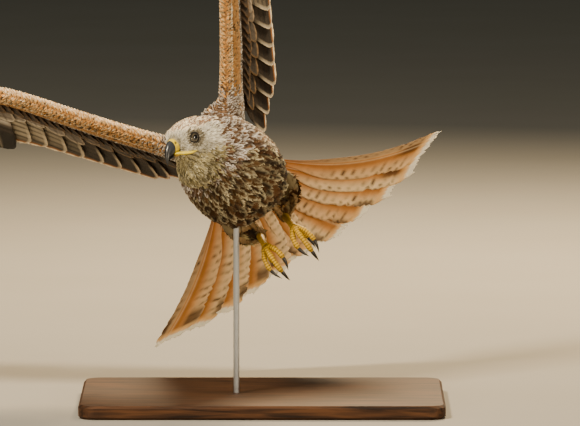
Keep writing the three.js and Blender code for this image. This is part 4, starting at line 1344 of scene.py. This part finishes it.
# Head: places are ahead of, left of and above the middle between the eyes
HEAD_BILL = [
    [14, 6.6, 8.2, -9.4], [21, 6.4, 7.0, -9.8], [27.5, 5.6, 5.4, -10.4], [33.5, 4.3, 2.2, -11.4],
    [38, 3.0, -3.0, -13.6], [40.8, 1.9, -9.0, -16.6], [41.7, 0.9, -15.0, -19.6],
]
LOWER_BILL = [
    [12, 5.4, -9.6, -14.4], [23, 5.0, -10.4, -14.8], [30, 4.0, -11.2, -14.6], [35.5, 2.2, -12.0, -14.0],
]
CERE_START, CERE_END = 16.0, 26.0
NOSTRIL = (22.5, 5.9, 1.4)
GAPE_LINE = [(28, 3.2, -9.8), (23, 5.6, -10.8), (16, 10.4, -13.2), (9, 15.2, -14.8), (3.5, 17.8, -14.6)]
GAPE_RADII = [[0, 0.9], [0.15, 1.7], [0.45, 1.9], [0.8, 1.3], [1, 0.3]]
IRIS_RADIUS = 5.5
PUPIL_RADIUS = 3.1
LID_RADIUS = 1.2


def bill_loft(rows, start, end, steps, sides, grow=0.0):
    """A closed loft along the head with half width, top and bottom from its stations."""
    places = np.linspace(start, end, steps)
    turn = np.linspace(0, 2 * np.pi, sides, endpoint=False)
    rings = []
    for place, (half, top, low) in zip(places, stations(rows, places)):
        across = (half + grow) * np.cos(turn)
        height = (top + low) / 2 + ((top - low) / 2 + grow) * np.sin(turn)
        rings.append(np.column_stack([np.full(sides, place), across, height]))
    return closed_tube(np.concatenate(rings), steps, sides)


def bill_pieces():
    local, faces = bill_loft(HEAD_BILL, CERE_END - 0.6, 41.7, 30, 28)
    colours = blended("#2d3138", "#121315", ramp(30, 40, local[:, 0]))
    made = piece("bill_horn", in_head(local), faces, HORN, colours)
    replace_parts(made, "bill_upper")
    local, faces = bill_loft(LOWER_BILL, 19.2, 35.2, 16, 20)
    colours = blended("#b9912e", "#23242a", ramp(22, 32, local[:, 0]))
    made = piece("bill_under", in_head(local), faces, HORN, colours)
    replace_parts(made, "bill_lower")


def cere_piece():
    """The waxy skin over the root of the bill, with a nostril sunk in each side, its hollow darkened by
    painted shade, and dull lores behind.
    """
    local, faces = bill_loft(HEAD_BILL, CERE_START, CERE_END, 26, 36, 0.15)
    near = [np.linalg.norm((local - np.array(NOSTRIL) * (1, sign, 1)) * (0.75, 0.6, 1.25), axis=1)
            for sign in (1, -1)]
    pit = ramp(2.0, 0.9, np.minimum(*near))
    local[:, 1] -= np.sign(local[:, 1]) * 1.6 * pit
    lores = ramp(21.0, 19.6, local[:, 0] - 0.3 * (local[:, 2] - 2))
    # Painted shade: the nostrils' hollows are coloured dark brown
    colours = mix(blended("#d9bd1c", "#2c2113", pit), linear("#8d8368"), lores[:, None])
    made = piece("cere_skin", in_head(local), faces, CERE, colours)
    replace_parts(made, "cere")


def gape_piece():
    """The yellow corners of the mouth, soft ridges from the bill to below each eye."""
    radii = profile(GAPE_RADII, np.linspace(0, 1, 30))
    lines = [curve_through(in_head(np.array(GAPE_LINE) * (1, sign, 1)), 30) for sign in (1, -1)]
    points, faces = joined([bar(line, radii, 14) for line in lines])
    piece("gape", points, faces, CERE, plain("#d8c01a", points))


def eye_frame(sign):
    """The middle of an eye, and the ways that it looks, across and up."""
    gaze = unit(GAZE * (1, sign, 1))
    across = unit(np.array([1, 0, 0]) - gaze * gaze[0])
    return np.array([0, sign * EYE_SIDE, 0]), gaze, across, np.cross(gaze, across)


def eyeball(side, sign):
    """A ball with a low bulge for the cornea, a rayed iris and a round pupil."""
    centre, gaze, across, up = eye_frame(sign)
    tilts, turns = np.linspace(0.03, np.pi - 0.03, 60), np.linspace(0, 2 * np.pi, 48, endpoint=False)
    tilt, turn = (values.ravel() for values in np.meshgrid(tilts, turns, indexing="ij"))
    radius = EYE_RADIUS * (1 + 0.05 * ramp(0.8, 0.2, tilt))
    ways = np.column_stack([np.cos(tilt), np.sin(tilt) * np.cos(turn), np.sin(tilt) * np.sin(turn)])
    ball = centre + radius[:, None] * ways @ np.array([gaze, across, up])
    points, faces = closed_tube(ball, len(tilts), len(turns))
    away = np.r_[EYE_RADIUS * np.sin(tilt), 0, 0]
    turn = np.r_[turn, 0, 0]
    rays = 0.5 + 0.5 * np.sin(turn * 31) * np.sin(turn * 13 + 1)
    colours = blended("#4d4535", "#221d16", 0.5 * rays + 0.5 * ramp(3.8, 5.5, away))
    pupil = ramp(PUPIL_RADIUS + 0.2, PUPIL_RADIUS - 0.1, away)
    rim = ramp(IRIS_RADIUS - 0.2, IRIS_RADIUS + 0.2, away)
    for colour, share in (("#060505", pupil), ("#0d0b0a", rim)):
        colours = mix(colours, linear(colour), share[:, None])
    made = piece(f"eyeball_{side}", in_head(points), faces, CORNEA, colours)
    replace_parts(made, f"eye_{side}")


def lids(side, sign):
    """The dark ring of the lids round an eye."""
    centre, gaze, across, up = eye_frame(sign)
    turn = np.linspace(0, 2 * np.pi, 61)
    circle = np.outer(np.cos(turn), across) + 0.88 * np.outer(np.sin(turn), up)
    ahead = math.sqrt(EYE_RADIUS**2 - EYE_OPENING**2) * 1.03
    ring = centre + gaze * ahead + (EYE_OPENING + 0.3) * circle
    points, faces = bar(ring, np.full(61, LID_RADIUS), 10)
    piece(f"lids_{side}", in_head(points), faces, SKIN, plain("#1c1815", points))


# Legs
LEGS = {
    "left": {"sign": 1, "ankle": (-50, 10, -73), "fork": (4, 15, -100)},
    "right": {"sign": -1, "ankle": (-50, -26, -74), "fork": (4, -25, -98)},
}
TOES = [
    {"digit": 1, "spread": 165, "pitch": (-15, -75), "length": 24, "radius": 3.8},
    {"digit": 2, "spread": -44, "pitch": (-35, -92), "length": 27, "radius": 3.7},
    {"digit": 3, "spread": 4, "pitch": (-38, -105), "length": 40, "radius": 3.6},
    {"digit": 4, "spread": 46, "pitch": (-35, -92), "length": 31, "radius": 3.3},
]
TOE_BASE = 3.0
TOE_STEPS = 110
CLAW_LENGTH = 15.0
CLAW_BEND = 38.0
SCUTE = 3.1
SHANK_RADII = [[0, 4.8], [0.5, 3.7], [0.85, 4.3], [1, 5.4]]
SHANK_STEPS = 90
TOE_PADS = [
    [0, 0.3], [0.06, 1.15], [0.25, 0.9], [0.42, 1.1], [0.6, 0.88], [0.8, 1.05], [0.93, 0.95], [1, 0.5],
]
CLAW_TAPER = [[0, 0.55], [0.15, 0.62], [0.6, 0.38], [1, 0.06]]


def toe_line(leg, toe):
    """The middle line of a toe with its claw, bent ever further down, and the toe's share of it."""
    turn = math.radians(toe["spread"])
    ahead = np.array([math.cos(turn), leg["sign"] * math.sin(turn), 0])
    total = toe["length"] + CLAW_LENGTH
    place = np.array(leg["fork"], float) + ahead * TOE_BASE
    points = [place]
    for i in range(8):
        pitch = math.radians(mix(toe["pitch"][0], toe["pitch"][1] - CLAW_BEND, (i + 0.5) / 8))
        place = place + (ahead * math.cos(pitch) + np.array([0, 0, math.sin(pitch)])) * total / 8
        points.append(place)
    return curve_through(points, TOE_STEPS), toe["length"] / total


def scuted_bar(line, radii, sides):
    """A leg or toe in overlapping ring scutes, with the groove of each ring darker."""
    phase = (lengths_along(line) / SCUTE) % 1
    ridge = ramp(0, 0.25, phase) * ramp(1.0, 0.45, phase)
    points, faces = bar(line, radii * (0.94 + 0.12 * ridge), sides)
    groove = np.r_[np.repeat(1 - ridge, sides), 0, 0]
    return points, faces, blended("#b58c0c", "#4e400a", 0.85 * groove)


def leg_pieces(side):
    leg = LEGS[side]
    ankle, fork = np.array(leg["ankle"], float), np.array(leg["fork"], float)
    down = unit(fork - ankle)
    shank = curve_through([ankle - down * 4, ankle + (fork - ankle) * 0.5, fork + down * 3], SHANK_STEPS)
    radii = profile(SHANK_RADII, np.linspace(0, 1, SHANK_STEPS))
    radii[-4:] *= [0.9, 0.75, 0.5, 0.1]
    yellow = [scuted_bar(shank, radii, 16)]
    claws = []
    for toe in TOES:
        line, share = toe_line(leg, toe)
        cut = int(round(share * (TOE_STEPS - 1)))
        radii = 0.85 * toe["radius"] * profile(TOE_PADS, np.linspace(0, 1, cut + 1))
        yellow.append(scuted_bar(line[:cut + 1], radii, 14))
        taper = profile(CLAW_TAPER, np.linspace(0, 1, TOE_STEPS - cut + 3))
        claws.append(bar(line[cut - 3:], toe["radius"] * taper, 12))
    points, faces = joined([part[:2] for part in yellow])
    colours = np.concatenate([part[2] for part in yellow])
    made = piece(f"leg_{side}", points, faces, SCUTES, colours)
    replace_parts(made, f"tarsus_{side}", f"foot_{side}")
    points, faces = joined(claws)
    made = piece(f"claws_{side}", points, faces, HORN, plain("#191614", points))
    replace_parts(made, *[f"claw_{side}_{toe['digit']}" for toe in TOES])


# Stage, camera and light
PICTURE_WIDTH = 580
SENSOR_WIDTH = 36.0
CAMERA_TARGET = Vector((0.032, -0.0495, 0.228))
CAMERA_DISTANCE = 9.0
CAMERA_ELEVATION = 5.0
MM_PER_PIXEL = 1.15
LIT_PLACE = Vector((0, 0, 0.25))
FLOOR_WIDTH = 80.0


def camera():
    data = bpy.data.cameras.new("camera")
    data.sensor_width = SENSOR_WIDTH
    data.lens = SENSOR_WIDTH * CAMERA_DISTANCE / (PICTURE_WIDTH * MM_PER_PIXEL * MM)
    data.clip_end = 100.0
    view = bpy.data.objects.new("camera", data)
    bpy.context.scene.collection.objects.link(view)
    tilt = math.radians(CAMERA_ELEVATION)
    view.location = CAMERA_TARGET + Vector((0, -math.cos(tilt), math.sin(tilt))) * CAMERA_DISTANCE
    view.rotation_euler = (math.radians(90 - CAMERA_ELEVATION), 0, 0)
    bpy.context.scene.camera = view


def lamp(name, place, size, power, colour):
    """A soft square lamp that faces the bird."""
    data = bpy.data.lights.new(name, "AREA")
    data.size = size
    data.energy = power
    data.color = tuple(linear(colour))
    made = bpy.data.objects.new(name, data)
    made.location = place
    made.rotation_euler = (LIT_PLACE - Vector(place)).to_track_quat("-Z", "Y").to_euler()
    bpy.context.scene.collection.objects.link(made)


def stage():
    bpy.ops.object.select_all(action="DESELECT")
    bpy.ops.mesh.primitive_plane_add(size=FLOOR_WIDTH)
    floor = bpy.context.object
    floor.name = "floor"
    floor.data.materials.append(floor_material())
    world = bpy.data.worlds.new("studio")
    world.use_nodes = True
    world.node_tree.nodes["Background"].inputs["Color"].default_value = rgba("#c9d0c4")
    world.node_tree.nodes["Background"].inputs["Strength"].default_value = 0.14
    bpy.context.scene.world = world
    lamp("key", (-1.3, -1.7, 2.7), 0.5, 210, "#ffeed2")
    lamp("fill", (3.2, -3.5, 1.1), 1.6, 165, "#ffeacb")
    lamp("bounce", (-3.2, -3.4, 1.1), 1.6, 95, "#ffeacb")
    lamp("rim", (0.7, 2.2, 2.2), 0.9, 260, "#ffe2b4")


def stand():
    for name, material in (("stand_base", wood_material()), ("stand_rod", steel_material())):
        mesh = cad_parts[name].data
        mesh.materials.clear()
        mesh.materials.append(material)


def main():
    camera()
    stage()
    stand()
    body_coat(skin_piece())
    for side in WINGS:
        wing = Wing(side)
        feathers = flight_feathers(wing)
        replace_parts(flight_piece(wing, feathers), f"wing_{side}", f"wing_{side}_hand")
        covert_piece(wing, feathers)
        arm_skin(wing)
        arm_coat(wing)
    draws = np.random.default_rng(TAIL_SEED)
    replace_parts(tail_vanes(draws), "tail")
    tail_coverts(draws)
    bill_pieces()
    cere_piece()
    gape_piece()
    for side, sign in (("left", 1), ("right", -1)):
        eyeball(side, sign)
        lids(side, sign)
        leg_pieces(side)


main()
